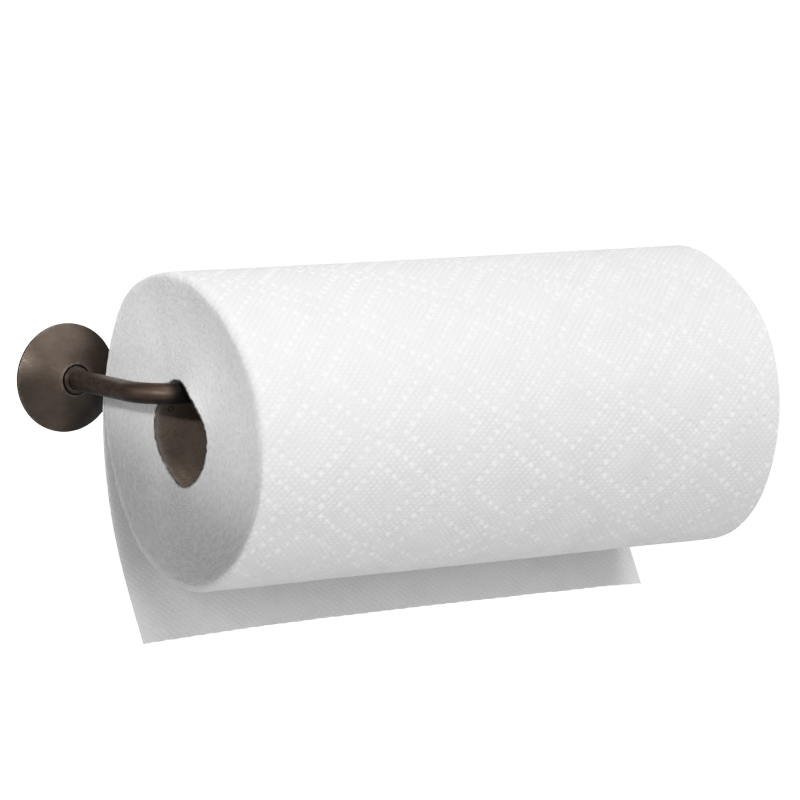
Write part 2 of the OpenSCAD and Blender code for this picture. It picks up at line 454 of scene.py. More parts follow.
@dataclass(frozen=True)
class Finish:
    """A material; each kind wires its own surface.

    Args:
        name: The material's name.
    """

    name: str

    def make(self) -> bpy.types.Material:
        """Makes the material.

        Returns:
            The finished material.
        """
        material = bpy.data.materials.new(self.name)
        material.use_nodes = True
        material.node_tree.nodes.clear()
        wiring = Wiring(material.node_tree)
        surface = wiring.add("BsdfPrincipled")
        output = wiring.add("OutputMaterial")
        wiring.feed(output.inputs["Surface"], surface.outputs[0])
        self.wire(wiring, surface)
        return material

    def wire(self, wiring: Wiring, surface: bpy.types.Node) -> None:
        """Wires the surface; each finish has its own way."""
        raise NotImplementedError

    @staticmethod
    def relief(
        wiring: Wiring, surface: bpy.types.Node, height: object, depth: float, strength: float = 1.0
    ) -> None:
        """Gives the surface a bump from a height of 0 to 1; depth is how deep the whole height is."""
        bump = wiring.add("Bump", None, Height=height, Distance=depth, Strength=strength)
        wiring.feed(surface.inputs["Normal"], bump.outputs[0])


@dataclass(frozen=True)
class BronzeFinish(Finish):
    """A dark brown bronze coat over metal: mottled, a little streaky, lighter where its edges wear, with
    painted shade in its groove, on its low side, under the rod and in the roll's mouth, and a painted
    highlight on the ring's lip.

    Args:
        deep: The darker brown.
        warm: The lighter brown.
        rubbed_and_highlit: The lighter brown of edges that wear, and of the painted highlight on the ring's
            lip.
        groove_shade: The colour of the painted shade in the groove around the cover's ring.
        side_shade: The colour of the painted shade on the cover's low side, towards the roll.
        underside_shade: The colour of the patchy painted shade on the rod's underside.
        corner_shade: The colour of the painted shade where the rod leaves its ring.
        bore_shade: The colour of the painted shade on the arm where it runs into the roll's mouth.
        roughness: The coat's middle roughness.
        metallic: How metallic the coat is.
        gloss: The share of a clear coat over it.
        grain: The scale of its grain.
        wear: How much its edges wear through.
        underside_share: The share of painted shade on the underside.
        gap: The groove's middle, as X and Z, and its radius; without it the finish has no painted groove
        shade, lip highlight or side shade.
        shaded_span: Where the arm's painted shade, at the roll's mouth, starts and ends along the arm.
        lip: The radius of the ring's raised lip.
        root: Where the rod leaves its ring, as Y.
        groove_width: How far from its circle the groove's painted shade is full, and where it ends.
        crest_width: How far from its circle the lip's crest is lightest, and where that ends.
        corner_shade_width: How far from the ring the rod's painted shade is full, and where it ends.
        dusk_width: How far out, low and towards the roll, the painted shade starts and is darkest.
        dusk_way: The way that the painted shade darkens: its shares along the wall and downwards.
        shaded_span_ends: Half the length of the painted shade's soft start and of its soft end.
    """

    deep: Colour = (0.070, 0.0525, 0.041)
    warm: Colour = (0.104, 0.079, 0.0625)
    rubbed_and_highlit: Colour = (0.19, 0.15, 0.12)
    groove_shade: Colour = (0.004, 0.003, 0.003)
    side_shade: Colour = (0.018, 0.013, 0.010)
    underside_shade: Colour = (0.010, 0.007, 0.006)
    corner_shade: Colour = (0.006, 0.004, 0.003)
    bore_shade: Colour = (0.008, 0.006, 0.005)
    roughness: float = 0.44
    metallic: float = 1.0
    gloss: float = 0.2
    grain: float = 900.0
    wear: float = 0.5
    underside_share: float = 0.0
    gap: tuple[float, float, float] | None = None
    shaded_span: tuple[float, float] | None = None
    lip: float = 0.0
    root: float | None = None
    groove_width: tuple[float, float] = (0.25 * MM, 0.7 * MM)
    crest_width: tuple[float, float] = (0.3 * MM, 0.6 * MM)
    corner_shade_width: tuple[float, float] = (0.8 * MM, 3.6 * MM)
    dusk_width: tuple[float, float] = (7 * MM, 18 * MM)
    dusk_way: tuple[float, float] = (0.8, 0.6)
    shaded_span_ends: tuple[float, float] = (2.5 * MM, 6 * MM)

    def wire(self, wiring: Wiring, surface: bpy.types.Node) -> None:
        """Mixes the two browns by a cloud, lightens the edges, paints shade into the groove, the low side,
        the underside, the rod's corner and the roll's mouth, paints a highlight on the lip, and varies the
        gloss.

        Args:
            wiring: The material's wiring.
            surface: Its Principled node.
        """
        where = wiring.place()
        grain = FINE_GRAIN.place(wiring, Vector=where, Scale=self.grain)
        wear = EDGE_WEAR.place(wiring, Amount=self.wear, Scale=500.0)["Mask"]
        streaks = wiring.noise(wiring.stretch(where, (1.0, 1.0, 4.0)), 160.0, 4.0, 0.65)
        tone = wiring.weigh(grain["Cloud"], 0.7, streaks, 0.3)
        coat = wiring.blend(wiring.spread(tone, 0.3, 0.7), (*self.deep, 1), (*self.warm, 1))
        coat = wiring.blend(wiring.spread(grain["Fine"], 0.56, 0.74, 0.0, 0.3), coat, (*self.rubbed_and_highlit, 1))
        coat = wiring.blend(wear, coat, (*self.rubbed_and_highlit, 1))
        if self.gap:
            # The lip's crest: lighter partly where the coat wears and partly as a painted highlight.
            coat = wiring.blend(self.crest(wiring, where), coat, (*self.rubbed_and_highlit, 1))
            # Painted shade in the groove around the ring.
            coat = wiring.blend(self.groove(wiring, where), coat, (*self.groove_shade, 1))
            # Painted shade on the cover's low side, towards the roll.
            coat = wiring.blend(self.painted_dusk(wiring, where), coat, (*self.side_shade, 1))
        gloss: object = self.gloss
        # Painted shade, patchy, on the rod's underside; it also takes away the clear coat.
        if self.underside_share:
            beneath = wiring.spread(wiring.facing_up(), -0.7, 0.05, 1.0, 0.0)
            patchy = wiring.spread(grain["Cloud"], 0.35, 0.6, 0.7, 1.0)
            beneath = wiring.times(wiring.times(beneath, patchy), self.underside_share)
            coat = wiring.blend(beneath, coat, (*self.underside_shade, 1))
            gloss = wiring.times(wiring.minus(1.0, beneath), gloss)
        # Painted shade in the corner where the rod leaves its ring, on its lower and left sides.
        if self.root is not None:
            coat = wiring.blend(self.corner(wiring, where), coat, (*self.corner_shade, 1))
        # Painted shade on the arm where it runs into the roll's mouth; it also takes away the clear coat.
        if self.shaded_span:
            bore_shading = self.length(wiring, where)
            coat = wiring.blend(bore_shading, coat, (*self.bore_shade, 1))
            gloss = wiring.times(wiring.minus(1.0, bore_shading), gloss)
        wiring.feed(surface.inputs["Base Color"], coat)
        rough = wiring.spread(grain["Fine"], 0.3, 0.7, self.roughness - 0.07, self.roughness + 0.1)
        wiring.feed(surface.inputs["Roughness"], rough)
        surface.inputs["Metallic"].default_value = self.metallic
        wiring.feed(surface.inputs["Coat Weight"], gloss)
        surface.inputs["Coat Roughness"].default_value = 0.4
        self.relief(wiring, surface, grain["Fine"], 0.035 * MM, 0.5)

    def off_circle(self, wiring: Wiring, where: Socket, radius: float) -> Socket:
        """Measures how far a place is from a circle around the rod's root.

        Args:
            wiring: The material's wiring.
            where: The place on the solid.
            radius: The circle's radius.

        Returns:
            The distance's socket.
        """
        along, up, _ = self.gap
        parts = wiring.parts(where)
        side, rise = wiring.minus(parts[0], along), wiring.minus(parts[2], up)
        return wiring.gap(wiring.distance(side, rise), radius)

    def groove(self, wiring: Wiring, where: Socket) -> Socket:
        """Finds the narrow dark circle of painted shade in the groove around the cover's ring."""
        return wiring.spread(self.off_circle(wiring, where, self.gap[2]), *self.groove_width, 1.0, 0.0)

    def crest(self, wiring: Wiring, where: Socket) -> Socket:
        """Finds the crest of the ring's raised lip, lighter where the coat wears and as a painted highlight.
        """
        return wiring.spread(self.off_circle(wiring, where, self.lip), *self.crest_width, 0.75, 0.0)

    def corner(self, wiring: Wiring, where: Socket) -> Socket:
        """Finds the painted shade where the rod leaves its ring, on the rod's lower and left sides.

        Args:
            wiring: The material's wiring.
            where: The place on the solid.

        Returns:
            The mask's socket.
        """
        out = wiring.minus(self.root, wiring.parts(where)[1])
        up = wiring.facing_up()
        near = wiring.spread(out, *self.corner_shade_width, 0.95, 0.0)
        return wiring.times(near, wiring.spread(up, 0.0, 0.7, 1.0, 0.0))

    def painted_dusk(self, wiring: Wiring, where: Socket) -> Socket:
        """Finds the side of the cover that the painted shade is darkest on: low, and towards the roll.

        Args:
            wiring: The material's wiring.
            where: The place on the solid.

        Returns:
            The mask's socket.
        """
        along, up, _ = self.gap
        parts = wiring.parts(where)
        side, rise = wiring.minus(parts[0], along), wiring.minus(parts[2], up)
        slant = wiring.minus(wiring.times(side, self.dusk_way[0]), wiring.times(rise, self.dusk_way[1]))
        return wiring.spread(slant, *self.dusk_width, 0.0, 0.9)

    def length(self, wiring: Wiring, where: Socket) -> Socket:
        """Finds the length of the arm that the roll's mouth hangs on, with soft ends, for its painted shade.

        Args:
            wiring: The material's wiring.
            where: The place on the solid.

        Returns:
            The mask's socket.
        """
        (start, end), (first, last) = self.shaded_span, self.shaded_span_ends
        along = wiring.parts(where)[0]
        rise = wiring.spread(along, start - first, start + first)
        fall = wiring.spread(along, end - last, end + last, 1.0, 0.0)
        return wiring.times(rise, fall)


@dataclass(frozen=True)
class ZincFinish(Finish):
    """Bright zinc plate on turned steel, with a fine brushed grain.

    Args:
        pale: The bright plate's colour.
        dull: The dull plate's colour.
        bare: The colour of bare edges.
    """

    pale: Colour = (0.56, 0.56, 0.54)
    dull: Colour = (0.36, 0.36, 0.35)
    bare: Colour = (0.72, 0.72, 0.7)

    def wire(self, wiring: Wiring, surface: bpy.types.Node) -> None:
        """Mixes bright and dull plate by a grain, with bare edges.

        Args:
            wiring: The material's wiring.
            surface: Its Principled node.
        """
        where = wiring.place()
        grain = FINE_GRAIN.place(wiring, Vector=where, Scale=1400.0)
        wear = EDGE_WEAR.place(wiring, Amount=0.6, Scale=700.0)["Mask"]
        plate = wiring.blend(wiring.spread(grain["Cloud"], 0.4, 0.62), (*self.pale, 1), (*self.dull, 1))
        wiring.feed(surface.inputs["Base Color"], wiring.blend(wear, plate, (*self.bare, 1)))
        wiring.feed(surface.inputs["Roughness"], wiring.spread(grain["Fine"], 0.3, 0.7, 0.26, 0.42))
        surface.inputs["Metallic"].default_value = 1.0
        self.relief(wiring, surface, grain["Height"], 0.03 * MM, 0.5)


@dataclass(frozen=True)
class PlugFinish(Finish):
    """Grey moulded nylon with a fine matt skin.

    Args:
        colour: The nylon's grey.
    """

    colour: Colour = (0.42, 0.42, 0.4)

    def wire(self, wiring: Wiring, surface: bpy.types.Node) -> None:
        """Varies one grey by a cloud, with a fine relief.

        Args:
            wiring: The material's wiring.
            surface: Its Principled node.
        """
        where = wiring.place()
        grain = FINE_GRAIN.place(wiring, Vector=where, Scale=1800.0)
        paler = tuple(min(1.0, part * 1.25) for part in self.colour)
        grey = wiring.blend(grain["Cloud"], (*self.colour, 1), (*paler, 1))
        wiring.feed(surface.inputs["Base Color"], grey)
        wiring.feed(surface.inputs["Roughness"], wiring.spread(grain["Fine"], 0.3, 0.7, 0.45, 0.6))
        self.relief(wiring, surface, grain["Fine"], 0.03 * MM, 0.5)


@dataclass(frozen=True)
class TowelFinish(Finish):
    """Soft white towel: pale pulp, whiter on the pins and dots and greyer between, with fibres; the
    whiteness of pins and dots is partly the pulp's own and partly painted light and shade of their relief.

    The piece's UV map is its place on the web, across and along, in units of WEB_UNIT. Its attribute pressed
    is 1 at the bottom of each large dot.

    Args:
        pulp: The pulp's colour.
        shade: The colour of the thinner pulp between.
        bright: The colour of pins and dots, partly painted light.
        dots: How bright the dots are.
        pins: How bright the pins are.
        underside_fade: How much the painted light and shade of the pins and dots fades on the roll's
            underside.
        underside_fade_span: Where along the web that fading is full, and where it has ended.
        shaded: Where along the web the painted shadow of the roll on the paper is full, and where it has
            gone.
        dim: The paper's brightness in that painted shadow.
        pull: How far the rows of pins wander.
        relief_depth: The depth of the bump.
    """

    pulp: Colour = (0.80, 0.80, 0.80)
    shade: Colour = (0.72, 0.72, 0.725)
    bright: Colour = (0.97, 0.97, 0.97)
    dots: float = 1.12
    pins: float = 0.62
    underside_fade: float = 0.0
    underside_fade_span: tuple[float, float] = (-90 * MM, -45 * MM)
    shaded: tuple[float, float] | None = None
    dim: float = 0.87
    pull: float = 1.1 * MM
    relief_depth: float = 0.12 * MM

    def wire(self, wiring: Wiring, surface: bpy.types.Node) -> None:
        """Reads the web's own map for the pins and fibres, and the pressed attribute for the dots.

        Args:
            wiring: The material's wiring.
            surface: Its Principled node.
        """
        web = wiring.web()
        metres = wiring.scaled(web, WEB_UNIT)
        parts = wiring.parts(metres)
        pull = wiring.waver(metres, 120.0, 2.0, self.pull)
        across, along = wiring.plus(parts[0], pull), wiring.minus(parts[1], pull)
        pins = PIN_EMBOSS.place(wiring, Across=across, Along=along)["Height"]
        fibres = FIBRES.place(wiring, Vector=metres, Scale=1900.0)["Streaks"]
        cloud = wiring.noise(metres, 55.0, 4.0, 0.6)
        pressed = wiring.mask("pressed")
        patchy = wiring.spread(wiring.noise(metres, 160.0, 3.0), 0.3, 0.6, 0.55, 1.0)
        patchy = wiring.times(patchy, wiring.spread(wiring.noise(metres, 46.0, 2.0), 0.36, 0.62, 0.68, 1.2))
        # The pins' and dots' painted light and shade fades on the roll's underside, which is lit from below.
        if self.underside_fade:
            faded = wiring.spread(parts[1], *self.underside_fade_span, 1 - self.underside_fade, 1.0)
            patchy = wiring.times(patchy, faded)
        tone = wiring.weigh(fibres, 0.6, cloud, 0.4)
        ground = wiring.blend(wiring.spread(tone, 0.35, 0.62), (*self.shade, 1), (*self.pulp, 1))
        # Whiter pins and dots: partly the pulp's own tone, partly painted light and shade of their relief.
        on_pin = wiring.times(wiring.times(pins, patchy), self.pins)
        on_dot = wiring.times(wiring.times(pressed, patchy), self.dots)
        white = wiring.math("MAXIMUM", on_pin, on_dot)
        paper = wiring.blend(white, ground, (*self.bright, 1))
        # Painted shadow of the roll on the loose sheet: dim along its part under the roll, gone towards its
        # free end.
        if self.shaded:
            paper = wiring.blend(1.0, paper, wiring.spread(parts[1], *self.shaded, self.dim, 1.0), "MULTIPLY")
        wiring.feed(surface.inputs["Base Color"], paper)
        surface.inputs["Roughness"].default_value = 0.95
        surface.inputs["Specular IOR Level"].default_value = 0.2
        surface.inputs["Sheen Weight"].default_value = 0.1
        surface.inputs["Sheen Roughness"].default_value = 0.6
        dents = wiring.times(wiring.times(pins, wiring.minus(1.0, pressed)), 0.5)
        height = wiring.minus(wiring.times(fibres, 0.5), dents)
        self.relief(wiring, surface, height, self.relief_depth, 1.0)


@dataclass(frozen=True)
class LayerFinish(Finish):
    """The roll's end: hundreds of sheet edges as fine rings about the axis, greyer between them, with
    painted light and shade over it and a painted highlight on its rim.

    Args:
        axis: The roll's axis, as its Y and Z.
        pale: The colour of a sheet's edge.
        grey: The colour between two edges.
        layer: The thickness of a layer.
        arc_layers: How many layers a short arc is thick.
        wander: How far the rings stray from true circles.
        shred: The thickness of a torn arc.
        arcs: How strong the torn arcs are, on the lower half.
        waves: How far the torn arcs stray from true circles.
        rim: How much lighter the edge of the end is: a painted highlight where the soft edge meets the light.
        painted_dusk: The painted light and shade on the end: how much lighter it is high up and darker
            towards its bottom.
        lean: How far the way down leans, as a share.
        dusk_top: How far above the axis the painted light is brightest.
        dusk_drop: How far below that the painted shade is darkest.
        low: How far up the torn arcs are full, and where they end.
    """

    axis: tuple[float, float] = (0.0, 0.0)
    pale: Colour = (0.86, 0.86, 0.86)
    grey: Colour = (0.68, 0.68, 0.68)
    layer: float = 0.55 * MM
    arc_layers: float = 2.6
    wander: float = 1.6 * MM
    shred: float = 0.62 * MM
    arcs: float = 0.42
    waves: float = 2.4 * MM
    rim: float = 0.12
    painted_dusk: float = 0.19
    lean: float = 0.28
    dusk_top: float = 18 * MM
    dusk_drop: float = 62 * MM
    low: tuple[float, float] = (-34 * MM, -8 * MM)

    def wire(self, wiring: Wiring, surface: bpy.types.Node) -> None:
        """Makes a noise of the distance from the axis, wandering a little around it.

        Args:
            wiring: The material's wiring.
            surface: Its Principled node.
        """
        place = wiring.place()
        parts = wiring.parts(place)
        side, up = wiring.minus(parts[1], self.axis[0]), wiring.minus(parts[2], self.axis[1])
        distance = wiring.distance(side, up)
        flat = wiring.point(side, up)
        wander = wiring.waver(flat, 28.0, 3.0, self.wander)
        ring = wiring.point(wiring.over(wiring.plus(distance, wander), self.layer))
        angle = wiring.math("ARCTAN2", up, side)
        patch = wiring.point(wiring.over(distance, self.layer * self.arc_layers), wiring.times(angle, 5.0))
        rings = wiring.noise(ring, 1.0, 2.0, 0.6)
        arcs = wiring.noise(patch, 1.0, 3.0, 0.6)
        grain = FINE_GRAIN.place(wiring, Vector=place, Scale=1300.0)
        fibres = FIBRES.place(wiring, Vector=flat, Scale=900.0)["Streaks"]
        fluff = wiring.weigh(fibres, 0.5, grain["Fine"], 0.5)
        tufts = wiring.noise(flat, 420.0, 5.0, 0.7)
        lines = wiring.weigh(rings, 0.10, arcs, 0.15)
        mixed = wiring.plus(lines, wiring.weigh(fluff, 0.35, tufts, 0.4))
        slant = wiring.minus(up, wiring.times(side, self.lean))
        wavy = wiring.waver(flat, 150.0, 2.0, self.waves)
        shred = wiring.over(wiring.plus(distance, wavy), self.shred)
        shreds = wiring.noise(wiring.point(shred, wiring.times(angle, 9.0)), 1.0, 2.0)
        low = wiring.spread(slant, *self.low, 1.0, 0.0)
        torn = wiring.times(wiring.minus(shreds, 0.5), low)
        mixed = wiring.plus(mixed, wiring.times(torn, self.arcs))
        # Painted light and shade on the end: lightest a little above the axis, darker towards the bottom.
        down = wiring.times(wiring.minus(slant, self.dusk_top), math.pi / self.dusk_drop)
        wave = wiring.math("COSINE", down)
        tone = wiring.plus(wiring.times(wave, self.painted_dusk), 1.0)
        # Painted highlight on the end's soft edge.
        rim = wiring.mask("rim")
        tone = wiring.plus(tone, wiring.times(rim, self.rim))
        pulp = wiring.blend(wiring.spread(mixed, 0.36, 0.62), (*self.grey, 1), (*self.pale, 1))
        wiring.feed(surface.inputs["Base Color"], wiring.blend(1.0, pulp, tone, "MULTIPLY"))
        surface.inputs["Roughness"].default_value = 1.0
        surface.inputs["Specular IOR Level"].default_value = 0.1
        self.relief(wiring, surface, mixed, 2.2 * MM, 1.0)


@dataclass(frozen=True)
class CardFinish(Finish):
    """Grey-brown board wound on a slant: cloudy pulp, fibres, a spiral joint and a small pressed ring.

    Args:
        ring_centre: The middle of the pressed ring.
        board: The board's paler brown.
        dark: Its darker brown.
        tan: The brown of loose fibres and of the faded stripe.
        dusty: The grey of paper dust at the mouth.
        ink: The colour of the joint and of the pressed ring.
        torn: The darker colour of the cut ends.
        ring_radius: The pressed ring's radius.
        ring_line: Half the width of its line: where it is darkest, and where it ends.
        stripe: Where the faded stripe is around the tube, as a share of a turn.
        joint_turns: How many turns the spiral joint makes along the tube.
        joint_start: How far around the tube the joint is moved, as a share of a turn.
    """

    ring_centre: Point = (22.6 * MM, -57.7 * MM, -9.75 * MM)
    board: Colour = (0.170, 0.132, 0.102)
    dark: Colour = (0.112, 0.085, 0.067)
    tan: Colour = (0.33, 0.255, 0.195)
    dusty: Colour = (0.28, 0.28, 0.29)
    ink: Colour = (0.035, 0.028, 0.022)
    torn: Colour = (0.08, 0.066, 0.056)
    ring_radius: float = 1.25 * MM
    ring_line: tuple[float, float] = (0.15 * MM, 0.45 * MM)
    stripe: float = 0.7
    joint_turns: float = 3.1
    joint_start: float = 0.62

    def wire(self, wiring: Wiring, surface: bpy.types.Node) -> None:
        """Blends the board's colours by fibres and clouds, and darkens the joint and the ring.

        Args:
            wiring: The material's wiring.
            surface: Its Principled node.
        """
        web = wiring.web()
        place = wiring.place()
        grain = FINE_GRAIN.place(wiring, Vector=place, Scale=1100.0)
        fibres = FIBRES.place(wiring, Vector=web, Scale=260.0)["Streaks"]
        tone = wiring.weigh(fibres, 0.6, grain["Cloud"], 0.4)
        board = wiring.blend(wiring.spread(tone, 0.36, 0.62), (*self.dark, 1), (*self.board, 1))
        board = wiring.blend(wiring.spread(grain["Fine"], 0.54, 0.72, 0.0, 0.28), board, (*self.tan, 1))
        parts = wiring.parts(web)
        wound = wiring.times(parts[0], self.joint_turns)
        wound = wiring.plus(wound, wiring.plus(parts[1], self.joint_start))
        off_joint = wiring.gap(wiring.math("FRACT", wound), 0.5)
        joint = wiring.spread(off_joint, 0.0, 0.012, 1.0, 0.0)
        off_side = wiring.gap(parts[1], self.stripe)
        faded = wiring.spread(off_side, 0.02, 0.12, 0.75, 0.0)
        faded = wiring.times(faded, wiring.spread(parts[0], 0.02, 0.1, 1.0, 0.0))
        scratches = wiring.noise(wiring.stretch(web, (64.0, 96.0, 1.0)), 1.0, 4.0, 0.7)
        faded = wiring.times(faded, wiring.spread(scratches, 0.36, 0.64, 0.4, 1.45))
        board = wiring.blend(faded, board, (*self.tan, 1))
        away = wiring.add("VectorMath", {"operation": "DISTANCE"}, in0=place, in1=self.ring_centre)
        off_ring = wiring.gap(away.outputs["Value"], self.ring_radius)
        ring = wiring.spread(off_ring, *self.ring_line, 1.0, 0.0)
        marks = wiring.plus(wiring.times(joint, 0.5), wiring.times(ring, 0.85), True)
        cut = wiring.mask("cut")
        frayed = wiring.spread(wiring.noise(place, 170.0, 4.0, 0.6), 0.48, 0.66)
        torn = wiring.blend(frayed, (*self.torn, 1), (*self.tan, 1))
        board = wiring.blend(cut, board, torn)
        mouth = wiring.mask("mouth")
        dust = wiring.times(mouth, wiring.spread(grain["Cloud"], 0.3, 0.6, 0.5, 1.0))
        board = wiring.blend(dust, board, (*self.dusty, 1))
        wiring.feed(surface.inputs["Base Color"], wiring.blend(marks, board, (*self.ink, 1)))
        surface.inputs["Roughness"].default_value = 0.9
        surface.inputs["Specular IOR Level"].default_value = 0.25
        height = wiring.minus(tone, wiring.times(marks, 0.6))
        self.relief(wiring, surface, height, 0.25 * MM, 0.8)


@dataclass(frozen=True)
class FloorFinish(Finish):
    """A plain pale studio floor, lit up to an even white where the camera looks at it.

    Args:
        colour: The floor's colour in the light.
        white: How much it glows for the camera.
    """

    colour: Colour = (0.9, 0.9, 0.9)
    white: float = 1.0

    def wire(self, wiring: Wiring, surface: bpy.types.Node) -> None:
        """Sets one pale colour, and a glow up to white for the camera alone.

        Args:
            wiring: The material's wiring.
            surface: Its Principled node.
        """
        surface.inputs["Base Color"].default_value = (*self.colour, 1)
        surface.inputs["Roughness"].default_value = 1.0
        surface.inputs["Specular IOR Level"].default_value = 0.0
        surface.inputs["Emission Color"].default_value = (1, 1, 1, 1)
        seen = wiring.add("LightPath").outputs["Is Camera Ray"]
        wiring.feed(surface.inputs["Emission Strength"], wiring.times(seen, self.white))


# ------------ Surfaces ------------


def hump(offset: np.ndarray, half_width: float) -> np.ndarray:
    """A smooth hump: half of one plus the offset's cosine, from 1 at no offset to 0 at half_width."""
    share = np.clip(np.abs(offset) / half_width, 0.0, 1.0)
    return 0.5 * (1.0 + np.cos(np.pi * share))


def ripple(first: np.ndarray, second: np.ndarray, wave: float, seed: int, count: int = 7) -> np.ndarray:
    """A soft, irregular ripple: the mean of several sine waves that run in different directions.

    Args:
        first: One coordinate.
        second: The other coordinate.
        wave: The waves' usual length.
        seed: What fixes their directions and phases.
        count: How many waves there are.

    Returns:
        The ripple's height, roughly from -1 to 1.
    """
    chance = np.random.default_rng(seed)
    turns = chance.uniform(0, np.pi, count)
    phases = chance.uniform(0, 2 * np.pi, count)
    sizes = chance.uniform(0.7, 1.5, count)
    total = np.zeros(np.broadcast(first, second).shape)
    for turn, phase, size in zip(turns, phases, sizes):
        total += np.sin(2 * np.pi * (first * np.cos(turn) + second * np.sin(turn)) / (wave * size) + phase)
    return total / math.sqrt(2 * count)


def roll_turn(angle: np.ndarray) -> np.ndarray:
    """Brings angles in radians into the one turn that starts at TURN_START, in degrees."""
    return (np.degrees(angle) - TURN_START) % 360.0 + TURN_START


@dataclass(frozen=True)
class Swell:
    """A smooth hump over the angle around the roll.

    Args:
        height: Its height in the middle.
        middle: Its middle, in degrees.
        half_width: How far it reaches to each side, in degrees.
    """

    height: float
    middle: float
    half_width: float

    def at(self, turn: np.ndarray) -> np.ndarray:
        """The height at angles in degrees."""
        return self.height * hump(turn - self.middle, self.half_width)


@dataclass(frozen=True)
class Ripple:
    """A soft, irregular ripple of a surface.

    Args:
        height: Its height.
        wave: The waves' usual length.
        seed: What fixes their directions and phases.
    """

    height: float
    wave: float
    seed: int

    def at(self, first: np.ndarray, second: np.ndarray) -> np.ndarray:
        """The height at two coordinates."""
        return self.height * ripple(first, second, self.wave, self.seed)


@dataclass
class PieceMesh:
    """The points and faces of one piece, gathered before Blender gets them.

    Args:
        name: The piece's name.
        points: All points, one row each.
        faces: The faces, each a row of four point numbers.
        caps: Many-sided faces, each a list of point numbers.
        normals: The direction of the surface at each point, for the faces; the caps lie flat.
        web: Each point's place on the web, across and along it, in units of WEB_UNIT.
        masks: Each attribute's name, and its value from 0 to 1 at each point.
        finishes: The number of the finish that each of the faces has; the caps have the first.
        flat: Whether each of the faces is flat, with sharp sides; the rest are smooth.
    """

    name: str
    points: np.ndarray
    faces: np.ndarray
    caps: list[np.ndarray] = field(default_factory=list)
    normals: np.ndarray | None = None
    web: np.ndarray | None = None
    masks: dict[str, np.ndarray] = field(default_factory=dict)
    finishes: np.ndarray | None = None
    flat: np.ndarray | None = None

    def build(self) -> bpy.types.Object:
        """Puts the points and faces into a mesh object at the origin.

        Returns:
            The new object.
        """
        corners = np.concatenate([self.faces.ravel(), *self.caps]).astype(np.int32)
        mesh = bpy.data.meshes.new(self.name)
        self.lay(mesh, corners)
        mesh.update(calc_edges=True)
        mesh.validate()
        self.paint(mesh, corners)
        if self.normals is not None:
            mesh.normals_split_custom_set(self.directions(corners).tolist())
        made = bpy.data.objects.new(self.name, mesh)
        bpy.context.scene.collection.objects.link(made)
        return made

    def lay(self, mesh: bpy.types.Mesh, corners: np.ndarray) -> None:
        """Fills the mesh with the points, the corners and the faces.

        Args:
            mesh: The empty mesh.
            corners: The point number of each corner of each face.
        """
        caps = [len(cap) for cap in self.caps]
        sizes = np.concatenate([np.full(len(self.faces), 4), caps]).astype(np.int32)
        mesh.vertices.add(len(self.points))
        mesh.vertices.foreach_set("co", self.points.astype(np.float32).ravel())
        mesh.loops.add(len(corners))
        mesh.loops.foreach_set("vertex_index", corners)
        mesh.polygons.add(len(sizes))
        mesh.polygons.foreach_set("loop_start", np.concatenate([[0], np.cumsum(sizes)[:-1]]).astype(np.int32))
        mesh.polygons.foreach_set("loop_total", sizes)
        if self.finishes is not None:
            numbers = np.concatenate([self.finishes.ravel(), np.zeros(len(self.caps), int)])
            mesh.polygons.foreach_set("material_index", numbers.astype(np.int32))

    def paint(self, mesh: bpy.types.Mesh, corners: np.ndarray) -> None:
        """Gives the mesh its smooth and flat faces, its web map and its masks.

        Args:
            mesh: The mesh.
            corners: The point number of each corner of each face.
        """
        mesh.shade_smooth()
        if self.flat is not None:
            mesh.polygons.foreach_set("use_smooth", ~self.flat)
        if self.web is not None:
            layer = mesh.uv_layers.new(name="web")
            layer.data.foreach_set("uv", self.web[corners].astype(np.float32).ravel())
        for name, values in self.masks.items():
            attribute = mesh.attributes.new(name, "FLOAT", "POINT")
            attribute.data.foreach_set("value", values.astype(np.float32).ravel())

    def directions(self, corners: np.ndarray) -> np.ndarray:
        """The surface's direction at each corner: its point's own on the faces, and the cap's on a cap.

        Args:
            corners: The point number of each corner of each face.

        Returns:
            One direction for each corner.
        """
        found = self.normals[corners].copy()
        start = self.faces.size
        for cap in self.caps:
            ring = self.points[cap]
            flat = np.cross(ring, np.roll(ring, -1, 0)).sum(0)
            found[start : start + len(cap)] = flat / np.linalg.norm(flat)
            start += len(cap)
        return found


def grid_faces(rows: int, columns: int, closed_rows: bool) -> np.ndarray:
    """The four-sided faces of a grid of points that is numbered row by row.

    Args:
        rows: How many rows of points there are.
        columns: How many points each row has.
        closed_rows: Whether the last row is joined to the first.

    Returns:
        One row of four point numbers for each face.
    """
    steps = np.arange(rows if closed_rows else rows - 1), np.arange(columns - 1)
    row, column = np.meshgrid(*steps, indexing="ij")
    here, after = row * columns + column, (row + 1) % rows * columns + column
    return np.stack([here, after, after + 1, here + 1], -1).reshape(-1, 4)


def unit(vectors: np.ndarray) -> np.ndarray:
    """Scales vectors to a length of one."""
    return vectors / np.maximum(np.linalg.norm(vectors, axis=-1, keepdims=True), 1e-12)


# ------------ The towel's pressed pattern ------------


